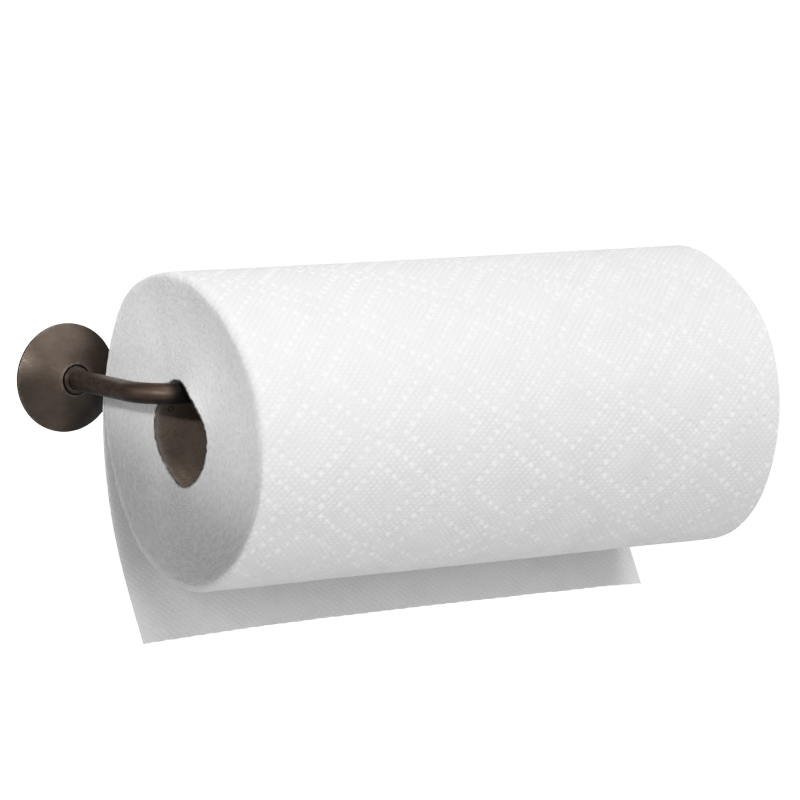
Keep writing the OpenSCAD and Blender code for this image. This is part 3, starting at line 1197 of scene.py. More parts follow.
@dataclass(frozen=True)
class DotLattice:
    """The towel's pressed pattern: square rings of dots in a slanting lattice, with lines of dots between.

    A place is given across the web and along it. Each cell of the lattice holds one ring, one line along
    each side and four dots where the lines cross. A place in a cell is a pair of shares, from -0.5 to 0.5,
    along its two sides.

    Args:
        falling: One side of a cell, across the web and along it.
        rising: The other side.
        middle: The middle of one ring.
        ring_half: Half a ring's side, as a share of the cell's.
        ring_dots: How many dots a ring's side has.
        line_half: Half a line's length, as a share of the cell's side.
        line_dots: How many dots a line has.
        cross_near: How far two of the crossing's dots are from it, as a share.
        cross_far: How far the other two are.
        dot_radius: A dot's radius.
        uneven: How much the dots differ in size, as a share.
        drift: The distance over which their size changes.
    """

    falling: tuple[float, float] = (37.04 * MM, -28.13 * MM)
    rising: tuple[float, float] = (31.40 * MM, 30.80 * MM)
    middle: tuple[float, float] = (56.15 * MM, 33.15 * MM)
    ring_half: float = 0.284
    ring_dots: int = 6
    line_half: float = 0.325
    line_dots: int = 7
    cross_near: float = 0.05
    cross_far: float = 0.078
    dot_radius: float = 2.0 * MM
    uneven: float = 0.16
    drift: float = 9 * MM

    def dots(self) -> np.ndarray:
        """The places of one cell's dots.

        Returns:
            One row of two shares for each dot.
        """
        side = np.linspace(-self.ring_half, self.ring_half, self.ring_dots)
        edge = np.full_like(side, self.ring_half)
        inner = slice(1, -1)
        ring = [(side, edge), (side, -edge), (edge[inner], side[inner]), (-edge[inner], side[inner])]
        line = np.linspace(-self.line_half, self.line_half, self.line_dots)
        half = np.full_like(line, 0.5)
        near, far = self.cross_near, self.cross_far
        cross = (0.5 + np.array([-near, near, far, -far]), 0.5 + np.array([near, -near, far, -far]))
        return np.concatenate([np.stack(pair, -1) for pair in (*ring, (line, half), (half, line), cross)])

    def pressed(self, across: np.ndarray, along: np.ndarray) -> np.ndarray:
        """How far each place is pressed in.

        Its formula: the square of one less the squared distance to the nearest dot, in dot radii.

        Args:
            across: The places across the web.
            along: The places along it.

        Returns:
            The depth, from 0 on the ground to 1 at a dot's middle.
        """
        sides = np.array([self.falling, self.rising]).T
        inverse = np.linalg.inv(sides)
        x, s = across - self.middle[0], along - self.middle[1]
        first = inverse[0, 0] * x + inverse[0, 1] * s
        second = inverse[1, 0] * x + inverse[1, 1] * s
        size = self.dot_radius * (1 + self.uneven * ripple(across, along, self.drift, 41))
        depth = np.zeros(np.broadcast(across, along).shape)
        for place in self.dots():
            one = (first - place[0] + 0.5) % 1.0 - 0.5
            two = (second - place[1] + 0.5) % 1.0 - 0.5
            off = (sides[0, 0] * one + sides[0, 1] * two) ** 2 + (sides[1, 0] * one + sides[1, 1] * two) ** 2
            depth = np.maximum(depth, np.clip(1.0 - off / size**2, 0.0, 1.0) ** 2)
        return depth


# ------------ Sub-assemblies ------------


@dataclass
class RollPlace:
    """Where the roll is in the frame, read from the frame's own solids, and how its near end is uneven.

    Args:
        near: Where its near end is along the axis.
        far: Where its far end is along the axis.
        axis_y: The axis's Y.
        axis_z: The axis's Z.
        radius: Its radius.
        bore: The radius of the paper's bore.
        pushed_out: The inner layers that stand out of the near end, above in front.
        pushed_in: The inner layers that are sunk into it, below behind.
        pushed_width: How far from the bore the layers are pushed.
    """

    near: float
    far: float
    axis_y: float
    axis_z: float
    radius: float
    bore: float = 24.0 * MM
    pushed_out: Swell = Swell(3.3 * MM, 49.0, 50.0)
    pushed_in: Swell = Swell(2.3 * MM, -122.0, 58.0)
    pushed_width: float = 32 * MM

    @classmethod
    def read(cls) -> RollPlace:
        """Reads the roll's place from its box."""
        low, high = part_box("paper_roll")
        return cls(low[0], high[0], (low[1] + high[1]) / 2, (low[2] + high[2]) / 2, (high[1] - low[1]) / 2)

    def skew(self, radius: np.ndarray, angle: np.ndarray) -> np.ndarray:
        """How far the near end's inner layers stand out.

        Its formula: two humps around the axis, one of each sign, that fade away from the bore by a square.

        Args:
            radius: The distances from the axis.
            angle: The angles around it.

        Returns:
            The distance at each place.
        """
        turn = roll_turn(angle)
        out = self.pushed_out.at(turn) - self.pushed_in.at(turn)
        return out * np.clip(1 - (radius - self.bore) / self.pushed_width, 0.0, 1.0) ** 2

    @property
    def length(self) -> float:
        """The roll's length."""
        return self.far - self.near

    def around(self, x: np.ndarray, radius: np.ndarray, angle: np.ndarray) -> np.ndarray:
        """The points around the axis: the axis, less the cosine towards the room, plus the sine upwards."""
        x, radius, angle = np.broadcast_arrays(x, radius, angle)
        return np.stack([x, self.axis_y - radius * np.cos(angle), self.axis_z + radius * np.sin(angle)], -1)


@dataclass
class PaperRoll:
    """The wound towel, as closed sectors of one embossed body of revolution that is a little out of round.

    Args:
        place: Where the roll is.
        lattice: The pressed pattern.
        edge: The soft edge's radius at the near end.
        flush_edge: That radius at the seam.
        flush_width: How far from the seam the edge grows to its full radius, in degrees.
        steady_width: How far from the seam the edge has its full wobble, in degrees.
        tight_edge: How much tighter the edge is above, behind.
        front_edge: How much tighter it is in front.
        far_edge: The soft edge's radius at the far end.
        far_out: How far the last layers stand out at the far end.
        press: How deep the large dots are.
        pin_press: How deep the pins are.
        sheet: The spiral's fall over one turn.
        sectors: How many sectors there are.
        columns: How many steps around the axis a sector has.
        skin_rows: How many steps along the skin there are.
        face_rows: How many steps an end has, from bore to edge.
        edge_rows: How many steps a soft edge has.
        seam: The angle at which the loose sheet leaves the roll.
        near_swell: The swelling behind, which fades towards the far end.
        near_rise: The swelling on top, which fades towards the far end.
        near_lean: How the near end leans out above.
        near_dish: How the near end is dished in front.
        near_dent: The dent's depth at the near end.
        far_dent: The dent's depth at the far end.
        dent_middle: The dent's middle at the near end and at the far end, in degrees.
        dent_width: The dent's half width, in degrees.
        far_swell: The swelling below in front, which grows towards the far end.
        crease: The shallow crease in the end.
        crease_rise: How far from the bore the crease gets its full depth.
        torn_in: How far the torn bore is drawn in, towards the axis.
        torn_steps: One over the share of an end's width that the torn bore takes.
        set_in: How far the ends are set in, along the axis.
        relief_start: The share of an end's relief that it has at the bore.
        relief_steps: How much that share grows over the whole width of the end.
        lean_steps: One over the share of the length that the near end's lean and dish take.
        skin_start: The place on the soft edge, as an angle, where the skin's finish starts.
        skin_late: How much later it starts, below behind.
        rim_width: How wide the end's rim is that carries the painted highlight.
        rings: The end's fine rings, a coarse and a fine set.
        hollows: The end's soft hollows, wide and narrow.
        soft: The skin's soft ripple, wide and narrow.
        wobble: The soft edge's uneven radius.
        torn: The bore's torn edge.
        frayed: The soft edge's frayed layers.
        finishes: The finishes of the skin and of the ends.
    """

    place: RollPlace
    lattice: DotLattice
    edge: float = 4.6 * MM
    flush_edge: float = 1.0 * MM
    flush_width: float = 34.0
    steady_width: float = 60.0
    tight_edge: Swell = Swell(3.2 * MM, 118.0, 45.0)
    front_edge: Swell = Swell(2.7 * MM, -28.0, 85.0)
    far_edge: float = 1.6 * MM
    far_out: float = 1.0 * MM
    press: float = 0.58 * MM
    pin_press: float = 0.04 * MM
    sheet: float = 0.5 * MM
    sectors: int = 5
    columns: int = 144
    skin_rows: int = 460
    face_rows: int = 46
    edge_rows: int = 10
    seam: float = math.radians(SEAM)
    near_swell: Swell = Swell(2.6 * MM, 133.0, 34.0)
    near_rise: Swell = Swell(1.7 * MM, 105.0, 47.0)
    near_lean: Swell = Swell(2.0 * MM, 128.0, 62.0)
    near_dish: Swell = Swell(1.5 * MM, -14.0, 72.0)
    near_dent: float = 0.5 * MM
    far_dent: float = 3.2 * MM
    dent_middle: tuple[float, float] = (66.0, 64.0)
    dent_width: float = 40.0
    far_swell: Swell = Swell(1.8 * MM, -50.0, 42.0)
    crease: Swell = Swell(0.3 * MM, 112.0, 12.0)
    crease_rise: float = 12 * MM
    torn_in: float = 0.2 * MM
    torn_steps: float = 14.0
    set_in: float = 0.2 * MM
    relief_start: float = 0.1
    relief_steps: float = 8.0
    lean_steps: float = 1.2
    skin_start: float = math.pi / 14
    skin_late: Swell = Swell(1.15, -152.0, 36.0)
    rim_width: float = 1.9 * MM
    rings: tuple[Ripple, Ripple] = (Ripple(0.03 * MM, 3.4 * MM, 8), Ripple(0.02 * MM, 1.9 * MM, 9))
    hollows: tuple[Ripple, Ripple] = (Ripple(0.35 * MM, 62 * MM, 10), Ripple(0.12 * MM, 24 * MM, 11))
    soft: tuple[Ripple, Ripple] = (Ripple(0.12 * MM, 60 * MM, 3), Ripple(0.05 * MM, 17 * MM, 4))
    wobble: Ripple = Ripple(0.3 * MM, 26 * MM, 21)
    torn: Ripple = Ripple(0.42 * MM, 3.4 * MM, 15)
    frayed: Ripple = Ripple(0.16 * MM, 6 * MM, 14)
    finishes: tuple[bpy.types.Material, ...] = ()

    def section(self, x: np.ndarray, angle: np.ndarray) -> np.ndarray:
        """How far the skin is from the axis.

        Its formula: the radius, less the spiral's fall over one turn, plus the swells, less the dent.

        Args:
            x: The places along the axis.
            angle: The angles around it.

        Returns:
            The distance at each place.
        """
        share = np.clip((x - self.place.near) / self.place.length, 0.0, 1.0)
        turn = roll_turn(angle)
        swell = (1 - share) ** 1.5 * self.near_swell.at(turn) + (1 - share) ** 1.3 * self.near_rise.at(turn)
        swell = swell + share * self.far_swell.at(turn)
        middle = self.dent_middle[0] * (1 - share) + self.dent_middle[1] * share
        depth = self.near_dent * (1 - share) + self.far_dent * share
        dent = depth * hump(turn - middle, self.dent_width)
        spiral = self.sheet * (self.seam - angle) / (2 * np.pi)
        return self.place.radius + swell - dent - spiral

    def edge_radius(self, angle: np.ndarray) -> np.ndarray:
        """The soft edge's radius at the near end, which is small where the loose sheet leaves the roll.

        Args:
            angle: The angles around the axis.

        Returns:
            The radius at each angle.
        """
        turn = np.degrees(angle) % 360.0
        tight = self.tight_edge.at(turn) + self.front_edge.at(roll_turn(angle))
        flush = (self.edge - self.flush_edge) * hump(turn - SEAM, self.flush_width)
        wobble = self.wobble.at(self.place.radius * np.cos(angle), self.place.radius * np.sin(angle))
        return self.edge - flush - tight + wobble * (1 - hump(turn - SEAM, self.steady_width))

    def profile(self) -> tuple[np.ndarray, np.ndarray, np.ndarray]:
        """The closed outline of the paper's half section: near end, edge, skin, edge, far end and bore.

        Returns:
            For each point its place along the axis and its place between bore and shoulder, both as shares,
            and the angle of its place on the soft edge: a quarter turn on the skin and nothing on the ends.
        """
        rise = np.linspace(0.0, 1.0, self.face_rows, endpoint=False)
        bend = np.linspace(0.0, np.pi / 2, self.edge_rows, endpoint=False)
        run = np.linspace(0.0, 1.0, self.skin_rows)
        near = np.stack([0 * rise, rise, 0 * rise])
        first = np.stack([0 * bend, 1 + 0 * bend, bend])
        skin = np.stack([run, 1 + 0 * run, np.pi / 2 + 0 * run])
        last = np.stack([1 + 0 * bend, 1 + 0 * bend, bend[::-1]])
        far = np.stack([1 + 0 * rise, rise[::-1], 0 * rise])
        return tuple(np.concatenate([near, first, skin, last, far], axis=1))

    def face_relief(self, radius: np.ndarray, angle: np.ndarray) -> np.ndarray:
        """How far the end's layers stand out: fine rings, soft hollows and one shallow crease.

        Args:
            radius: The distances from the axis.
            angle: The angles around it.

        Returns:
            The height at each place.
        """
        side, up = radius * np.cos(angle), radius * np.sin(angle)
        rings = self.rings[0].at(radius, 0.002 * angle) + self.rings[1].at(radius, 0.001 * angle)
        hollows = self.hollows[0].at(side, up) + self.hollows[1].at(side, up)
        depth = np.clip((radius - self.place.bore) / self.crease_rise, 0, 1)
        return rings + hollows - self.crease.at(np.degrees(angle)) * depth

    def ahead(self, radius: np.ndarray, angle: np.ndarray) -> np.ndarray:
        """How far the near end stands out: its lean less its dish, times the squared share of the radius."""
        turn = roll_turn(angle)
        return (self.near_lean.at(turn) - self.near_dish.at(turn)) * (radius / self.place.radius) ** 2

    def surface(self) -> tuple[np.ndarray, np.ndarray, np.ndarray, np.ndarray, np.ndarray]:
        """The whole paper body on one grid, profile point by angle.

        Its formula: the skin's radius from section, with a soft ripple, less the pins and the pressed dots;
        a quarter circle of the soft edge's radius at each end; and end faces that stand out by face_relief,
        and at the near end by the place's skew and by ahead as well.

        Returns:
            The points, their normals, their places on the web, how far they are pressed in and how near the
            soft edge they are, for the end's painted highlight.
        """
        run, rise, bend = (part[:, None] for part in self.profile())
        angle = np.linspace(self.seam - 2 * np.pi, self.seam, self.sectors * self.columns + 1)[None, :]
        near_edge, far_edge = self.edge_radius(angle), self.far_edge
        is_near, on_skin, on_face = run < 0.5, bend >= np.pi / 2 - 1e-9, rise < 1.0
        edge = np.where(is_near, near_edge, far_edge)
        skin_x = self.place.near + near_edge + run * (self.place.length - near_edge - far_edge)
        inwards = np.where(is_near, 1.0, -1.0)
        edge_x = self.place.near + run * self.place.length + inwards * edge * (1 - np.cos(bend))
        x = np.where(on_skin, skin_x, edge_x)
        outer = self.section(x, angle)
        across, along = x - self.place.near, angle * self.place.radius + 0 * x
        embossed = np.sin(bend) ** 2 * (rise >= 1.0)
        pressed = self.lattice.pressed(across, along) * embossed
        soft = self.soft[0].at(across, along) + self.soft[1].at(across, along)
        pins = self.pin_press * PINS.height(across, along) * (1 - pressed)
        full = outer + (soft - pins - self.press * pressed) * embossed
        bore, shoulder = self.place.bore, outer - edge
        on_end = bore + rise * (shoulder - bore)
        on_edge = shoulder + (full - outer) + edge * np.sin(bend)
        radius = np.where(on_skin, full, np.where(on_face, on_end, on_edge))
        torn = self.torn.at(bore * np.cos(angle), bore * np.sin(angle)) - self.torn_in
        radius = radius + torn * np.clip(1 - rise * self.torn_steps, 0, 1) * is_near
        flat = (1 - np.sin(bend)) * ~on_skin
        grown = np.minimum(1.0, rise * self.relief_steps + self.relief_start)
        relief = (self.face_relief(radius, angle) - self.set_in) * grown
        x = x - inwards * relief * flat
        x = x - self.place.skew(radius, angle) * flat * is_near
        x = x + self.frayed.at(x, self.place.radius * angle) * np.sin(2 * bend) * is_near
        x = x - self.ahead(radius, angle) * np.clip(1 - run * self.lean_steps, 0, 1) ** 4
        x = x + self.far_out * run**8
        points = self.place.around(x, radius, angle)
        by_row = unit(np.roll(points, -1, 0) - np.roll(points, 1, 0))
        by_angle = unit(np.gradient(points, axis=1))
        normals = unit(np.cross(by_row, by_angle))
        web = np.stack([across, along], -1) / WEB_UNIT
        # How near the soft edge each point is, for the end's painted highlight.
        rim = np.clip(1 - (shoulder - radius) / self.rim_width, 0.0, 1.0) * is_near
        return points, normals, web, pressed, rim

    def build(self) -> list[bpy.types.Object]:
        """Cuts the body into sectors, closes each with two flat caps and dresses it.

        Returns:
            The sectors.
        """
        points, normals, web, pressed, rim = self.surface()
        rows = len(points)
        _, _, bend = self.profile()
        angle = np.linspace(self.seam - 2 * np.pi, self.seam, self.sectors * self.columns, endpoint=False)
        start = self.skin_start + self.skin_late.at(roll_turn(angle))
        skin = ((np.roll(bend, -1) + bend) / 2)[:, None] > start[None, :]
        made = []
        for number in range(self.sectors):
            part = slice(number * self.columns, (number + 1) * self.columns + 1)
            columns = self.columns + 1
            ring = np.arange(rows) * columns
            piece = PieceMesh(
                name=f"paper_roll_part_{number + 1}",
                points=points[:, part].reshape(-1, 3),
                faces=grid_faces(rows, columns, True),
                caps=[ring[::-1], ring + columns - 1],
                normals=normals[:, part].reshape(-1, 3),
                web=web[:, part].reshape(-1, 2),
                masks={"pressed": pressed[:, part].ravel(), "rim": rim[:, part].ravel()},
                finishes=np.where(skin[:, part.start : part.stop - 1], 0, 1).ravel(),
            ).build()
            for finish in self.finishes:
                piece.data.materials.append(finish)
            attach(piece, Body.ROLL.value)
            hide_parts("paper_roll")
            made.append(piece)
        return made


@dataclass
class CardCore:
    """The card tube that the towel is wound on, with a slightly ragged rim.

    Args:
        place: Where the roll is.
        inner: The radius of its inner wall.
        wall: The wall's thickness.
        fit: The share of the thickness that is kept, so that the tube stays clear of the paper.
        mouth: How far in the dust at its mouth reaches.
        rim_radius: The radius at which the rim's raggedness is measured.
        rim_steps: One over the share of the length that the ragged rim takes.
        skew_steps: One over the share of the length that the near end's skew takes.
        sunk: How far the rim is sunk into the roll.
        ragged: The rim's raggedness.
        inner_ragged: The share of it that the inner wall has.
        uneven: The walls' unevenness.
        span: The length over which the walls' unevenness runs.
        rows: How many steps along the tube a wall has.
        columns: How many steps around it there are.
        finish: The tube's finish.
    """

    place: RollPlace
    inner: float = 23.2 * MM
    wall: float = 0.8 * MM
    fit: float = 0.985
    mouth: float = 3.5 * MM
    rim_radius: float = 23.0 * MM
    rim_steps: float = 20.0
    skew_steps: float = 12.0
    sunk: float = 0.5 * MM
    ragged: Ripple = Ripple(0.35 * MM, 4 * MM, 21)
    inner_ragged: float = 0.4
    uneven: Ripple = Ripple(0.05 * MM, 50 * MM, 22)
    span: float = 0.28
    rows: int = 190
    columns: int = 220
    finish: bpy.types.Material | None = None

    def build(self) -> bpy.types.Object:
        """Makes the tube: a closed outline of inner wall, rim, outer wall and rim, carried around the axis.

        Returns:
            The tube.
        """
        angle = np.linspace(0.0, 2 * np.pi, self.columns, endpoint=False)[None, :]
        out, back = np.linspace(0.0, 1.0, self.rows), np.linspace(1.0, 0.0, self.rows)
        run = np.concatenate([[0.0], out, [1.0], back])[:, None]
        thick = np.concatenate([[0.5], np.ones(self.rows), [0.5], np.zeros(self.rows)])[:, None]
        side, up = self.rim_radius * np.cos(angle), self.rim_radius * np.sin(angle)
        kept = self.inner_ragged + thick * (1 - self.inner_ragged)
        ragged = (self.ragged.at(side, up) + self.sunk) * kept
        at_near = np.clip(1 - run * self.rim_steps, 0, 1)
        at_far = np.clip(run * self.rim_steps - self.rim_steps + 1, 0, 1)
        x = self.place.near + run * self.place.length + ragged * (at_near - at_far)
        x = x - self.place.skew(self.inner + self.wall, angle) * np.clip(1 - run * self.skew_steps, 0, 1)
        radius = self.inner + self.wall * thick * self.fit
        radius = radius + self.uneven.at(run * self.span, self.rim_radius * angle)
        points = self.place.around(x, radius, angle)
        faces = grid_faces(len(points), self.columns, True)
        first = np.arange(len(points)) * self.columns
        after = np.roll(first, -1)
        last = self.columns - 1
        closing = np.stack([first + last, after + last, after, first], -1)
        web = np.stack([run + 0 * angle, angle / (2 * np.pi) + 0 * run], -1)
        depth = np.minimum(run, 1 - run) * self.place.length
        cut = np.isclose(depth, 0.0) + 0 * angle
        mouth = np.clip(1 - depth / self.mouth, 0, 1) * (thick == 0) * ~np.isclose(depth, 0.0) + 0 * angle
        tube = PieceMesh(
            name="card_core",
            points=points.reshape(-1, 3),
            faces=np.concatenate([faces, closing]),
            web=web.reshape(-1, 2),
            masks={"cut": cut.ravel(), "mouth": mouth.ravel()},
        ).build()
        tube.data.materials.append(self.finish)
        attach(tube, Body.ROLL.value)
        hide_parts("roll_core")
        return tube


@dataclass
class LooseSheet:
    """The free end of the web: it leaves the back of the roll, hangs down and curls forward under it.

    Args:
        place: Where the roll is.
        lattice: The pressed pattern.
        paper: The wound towel that it leaves.
        thick: Its thickness.
        lead: The angle of its first arc, on the roll.
        lead_radius: That arc's radius.
        curl_radius: The radius of the arc that turns forward.
        curl: The angle of that arc.
        tail: The length of its straight end.
        press: How deep the large dots are.
        pin_press: How deep the pins are.
        bow: How much shorter it is in the middle of its torn edge.
        drift: How far its far corner is drawn towards the near end.
        slant: How much longer it is at its near corner.
        tuck: How far its start is tucked in behind the roll's skin.
        tuck_steps: One over the share of the sheet that is tucked in.
        still: The share of the sheet, from its start, that has no waves.
        through: The share of the pins' depth that shows on the inner side.
        coarse_nicks: The height and the width of the torn edge's teeth.
        fine_nicks: The height and the width of the finer teeth on them.
        waves: Its soft waves, long and short.
        rows: How many steps across the web there are.
        columns: How many steps along it there are.
        finishes: The finishes of the inner and of the outer side.
    """

    place: RollPlace
    lattice: DotLattice
    paper: PaperRoll
    thick: float = 0.34 * MM
    lead: float = math.radians(8.0)
    lead_radius: float = 71.35 * MM
    curl_radius: float = 141.95 * MM
    curl: float = math.radians(33.0)
    tail: float = 24.5 * MM
    press: float = 0.22 * MM
    pin_press: float = 0.04 * MM
    bow: float = 1.3 * MM
    drift: float = 2.2 * MM
    slant: float = 1.8 * MM
    tuck: float = 0.4 * MM
    tuck_steps: float = 9.0
    still: float = 0.12
    through: float = 0.4
    coarse_nicks: tuple[float, float] = (0.12 * MM, 7.3 * MM)
    fine_nicks: tuple[float, float] = (0.08 * MM, 2.6 * MM)
    waves: tuple[Ripple, Ripple] = (Ripple(1.1 * MM, 130 * MM, 31), Ripple(0.25 * MM, 34 * MM, 32))
    rows: int = 330
    columns: int = 136
    finishes: tuple[bpy.types.Material, ...] = ()

    @property
    def cut(self) -> float:
        """The sheet's length along its curve."""
        return self.lead * self.lead_radius + self.curl * self.curl_radius + self.tail

    def path(self, length: np.ndarray) -> tuple[np.ndarray, np.ndarray, np.ndarray]:
        """The sheet's side view: a short arc on the roll, a wider arc that turns forward, and a straight end.

        Args:
            length: The distance along the sheet from where it leaves the roll.

        Returns:
            The place towards the wall, the place upwards and the sheet's angle from upright.
        """
        on_roll = self.lead * self.lead_radius
        on_curl = on_roll + self.curl * self.curl_radius
        up = (on_roll - np.minimum(length, on_roll)) / self.lead_radius
        turned = np.clip(length - on_roll, 0, on_curl - on_roll) / self.curl_radius
        middle = self.lead_radius - self.curl_radius
        leading = length < on_roll
        away = np.where(leading, self.lead_radius * np.cos(up), middle + self.curl_radius * np.cos(turned))
        height = np.where(leading, self.lead_radius * np.sin(up), -self.curl_radius * np.sin(turned))
        rest = np.maximum(length - on_curl, 0)
        slope = np.where(leading, -up, turned)
        return away - rest * np.sin(self.curl), height - rest * np.cos(self.curl), slope

    def rim(self) -> np.ndarray:
        """The faces that close the sheet's four edges, between its inner and its outer side.

        Returns:
            One row of four point numbers for each face; the outer side's points come after the inner side's.
        """
        inner = np.arange(self.rows * self.columns).reshape(self.rows, self.columns)
        outer = inner + inner.size
        edges = [(side[0], side[-1, ::-1], side[::-1, 0], side[:, -1]) for side in (inner, outer)]
        faces = [np.stack([out[:-1], out[1:], near[1:], near[:-1]], -1) for near, out in zip(*edges)]
        return np.concatenate(faces)

    def nicks(self, across: np.ndarray) -> np.ndarray:
        """The teeth of the torn edge: a coarse wave across the web and a fine one on it.

        Args:
            across: The places across the web.

        Returns:
            How much longer the sheet is at each place.
        """
        turn = 2 * np.pi * across
        coarse = self.coarse_nicks[0] * np.sin(turn / self.coarse_nicks[1])
        return coarse + self.fine_nicks[0] * np.sin(turn / self.fine_nicks[1] + 1.0)

    def build(self) -> bpy.types.Object:
        """Lays the embossed web along its path as an inner and an outer side, closed by a rim.

        Returns:
            The sheet.
        """
        across = np.linspace(0.0, self.place.length, self.rows)[:, None]
        share = np.linspace(0.0, 1.0, self.columns)[None, :]
        bow = self.bow * np.sin(np.pi * across / self.place.length)
        slant = self.slant * (1 - across / self.place.length) ** 2
        length = share * (self.cut + self.nicks(across) * share**20 + (slant - bow) * share)
        away, height, slope = self.path(length)
        web_along = self.paper.seam * self.place.radius + length
        pressed = self.lattice.pressed(across + 0 * length, web_along)
        free = np.clip((share - self.still) / (1 - self.still), 0, 1)
        wave = free**1.5 * self.waves[0].at(across, length) + free * self.waves[1].at(across, length)
        middle = wave - self.tuck * (1 - np.clip(share * self.tuck_steps, 0, 1)) ** 2
        pins = PINS.height(across, web_along)
        outside = middle + self.thick / 2 - self.press * pressed - self.pin_press * pins * (1 - pressed)
        inside = middle - self.thick / 2 + self.through * self.pin_press * pins
        along = self.place.near + across - self.drift * (across / self.place.length) ** 3 * share**2
        away, height = self.place.axis_y + away, self.place.axis_z + height
        sides = [
            np.stack([along, away + out * np.cos(slope), height - out * np.sin(slope)], -1)
            for out in (inside, outside)
        ]
        web = np.stack([across + 0 * length, web_along], -1).reshape(-1, 2) / WEB_UNIT
        faces, rim = grid_faces(self.rows, self.columns, False), self.rim()
        count = self.rows * self.columns
        sheet = PieceMesh(
            name="loose_towel",
            points=np.concatenate([side.reshape(-1, 3) for side in sides]),
            faces=np.concatenate([faces[:, ::-1], faces + count, rim]),
            web=np.concatenate([web, web]),
            masks={"pressed": np.tile(pressed.ravel(), 2)},
            finishes=np.repeat([0, 1, 1], [len(faces), len(faces), len(rim)]),
            flat=np.repeat([False, False, True], [len(faces), len(faces), len(rim)]),
        ).build()
        for finish in self.finishes:
            sheet.data.materials.append(finish)
        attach(sheet, Body.SHEET.value)
        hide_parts("loose_sheet")
        return sheet


@dataclass
class Holder:
    """The metal holder and its fixings, which keep the frame's own solids and get their finishes.

    Args:
        place: Where the roll is.
        bronze: The solids with the bronze coat.
        brown: The solids with the warmer, darker coat of the arm.
        zinc: The zinc-plated solids.
        nylon: The nylon solids.
        lip_out: How far the ring's raised lip is from the rod.
        shaded_span: Where the arm's painted shade starts and ends, from the roll's near end.
    """

    place: RollPlace
    bronze: tuple[str, ...] = ("dome_cover", "cover_ring")
    brown: tuple[str, ...] = ("arm", "end_knob")
    zinc: tuple[str, ...] = ("base_plate", "arm_socket", "arm_screw", "wall_screws")
    nylon: tuple[str, ...] = ("wall_plugs",)
    lip_out: float = 0.2 * MM
    shaded_span: tuple[float, float] = (-5 * MM, 12 * MM)

    def dress(self) -> list[bpy.types.Object]:
        """Gives each solid its finish.

        Returns:
            The dressed solids.
        """
        dressed = []
        ring_low, ring_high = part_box("cover_ring")
        across, up = (ring_low[0] + ring_high[0]) / 2, (ring_low[2] + ring_high[2]) / 2
        gap = (across, up, (ring_high[0] - ring_low[0]) / 2)
        arm_low, arm_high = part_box("arm")
        lip = (arm_high[2] - arm_low[2]) / 2 + self.lip_out
        start, end = self.shaded_span
        # The arm's finish paints shade under the rod, where it leaves its ring and where it runs into the
        # roll's mouth.
        brown = BronzeFinish(
            "bronze_arm",
            deep=(0.064, 0.039, 0.027),
            warm=(0.102, 0.065, 0.046),
            roughness=0.47,
            metallic=0.8,
            underside_share=0.95,
            root=ring_low[1],
            shaded_span=(self.place.near + start, self.place.near + end),
        )
        finishes = (
            # The cover's finish paints shade into the groove around its ring and on its low side, and a
            # highlight on the ring's lip.
            (self.bronze, BronzeFinish("bronze_coat", wear=0.8, gap=gap, lip=lip)),
            (self.brown, brown),
            (self.zinc, ZincFinish("zinc_plate")),
            (self.nylon, PlugFinish("grey_nylon")),
        )
        for names, finish in finishes:
            material = finish.make()
            for name in names:
                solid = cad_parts[name]
                solid.data.materials.clear()
                solid.data.materials.append(material)
                dressed.append(solid)
        return dressed


# ------------ The studio ------------


@dataclass(frozen=True)
class Lamp:
    """A soft light that looks at a point: a square panel, or a spot where it has a beam.

    Args:
        name: The light's name.
        turn: Its direction from the point, in degrees from the room side towards the far end.
        rise: Its direction's angle above the level, in degrees.
        distance: How far it is from the point.
        size: The panel's side, or the spot's width.
        power: Its power in watts.
        aim: The point that its place is counted from.
        beam: The spot's half angle in degrees, or nothing for a panel.
        look: The point that the spot looks at, where it isn't the aim.
    """

    name: str
    turn: float
    rise: float
    distance: float
    size: float
    power: float
    aim: Point = (0.15, -0.079, -0.02)
    beam: float | None = None
    look: Point | None = None

    def build(self) -> bpy.types.Object:
        """Makes the light.

        Returns:
            The light's object.
        """
        lamp = bpy.data.lights.new(self.name, "SPOT" if self.beam else "AREA")
        lamp.energy = self.power
        if self.beam:
            lamp.shadow_soft_size, lamp.spot_blend = self.size / 2, 1.0
            lamp.spot_size = math.radians(2 * self.beam)
        else:
            lamp.shape, lamp.size = "SQUARE", self.size
        turn, rise = math.radians(self.turn), math.radians(self.rise)
        away = Vector((math.sin(turn) * math.cos(rise), -math.cos(turn) * math.cos(rise), math.sin(rise)))
        made = bpy.data.objects.new(self.name, lamp)
        made.location = Vector(self.aim) + away * self.distance
        ahead = Vector(self.look or self.aim) - made.location
        made.rotation_euler = ahead.to_track_quat("-Z", "Y").to_euler()
        bpy.context.scene.collection.objects.link(made)
        return made


@dataclass(frozen=True)
class Film:
    """How light becomes brightness in the picture: in proportion up to a knee, then softly to white.

    Args:
        knee: The light above which the shoulder starts.
        white: The light that comes out as white.
        steps: How many points the shoulder has.
    """

    knee: float = 0.45
    white: float = 1.9
    steps: int = 14

    def load(self) -> None:
        """Sets the picture's curve: past the knee, one less a power of the light still missing to white."""
        view = bpy.context.scene.view_settings
        view.view_transform, view.use_curve_mapping = "Standard", True
        mapping = view.curve_mapping
        mapping.white_level = (self.white, self.white, self.white)
        power = (self.white - self.knee) / (1 - self.knee)
        points = mapping.curves[3].points
        points[0].location, points[1].location = (0.0, 0.0), (1.0, 1.0)
        for step in range(self.steps):
            share = step / self.steps
            light = self.knee + share * (self.white - self.knee)
            points.new(light / self.white, self.knee + (1 - self.knee) * (1 - (1 - share) ** power))
        for point in points:
            point.handle_type = "VECTOR"
        mapping.update()


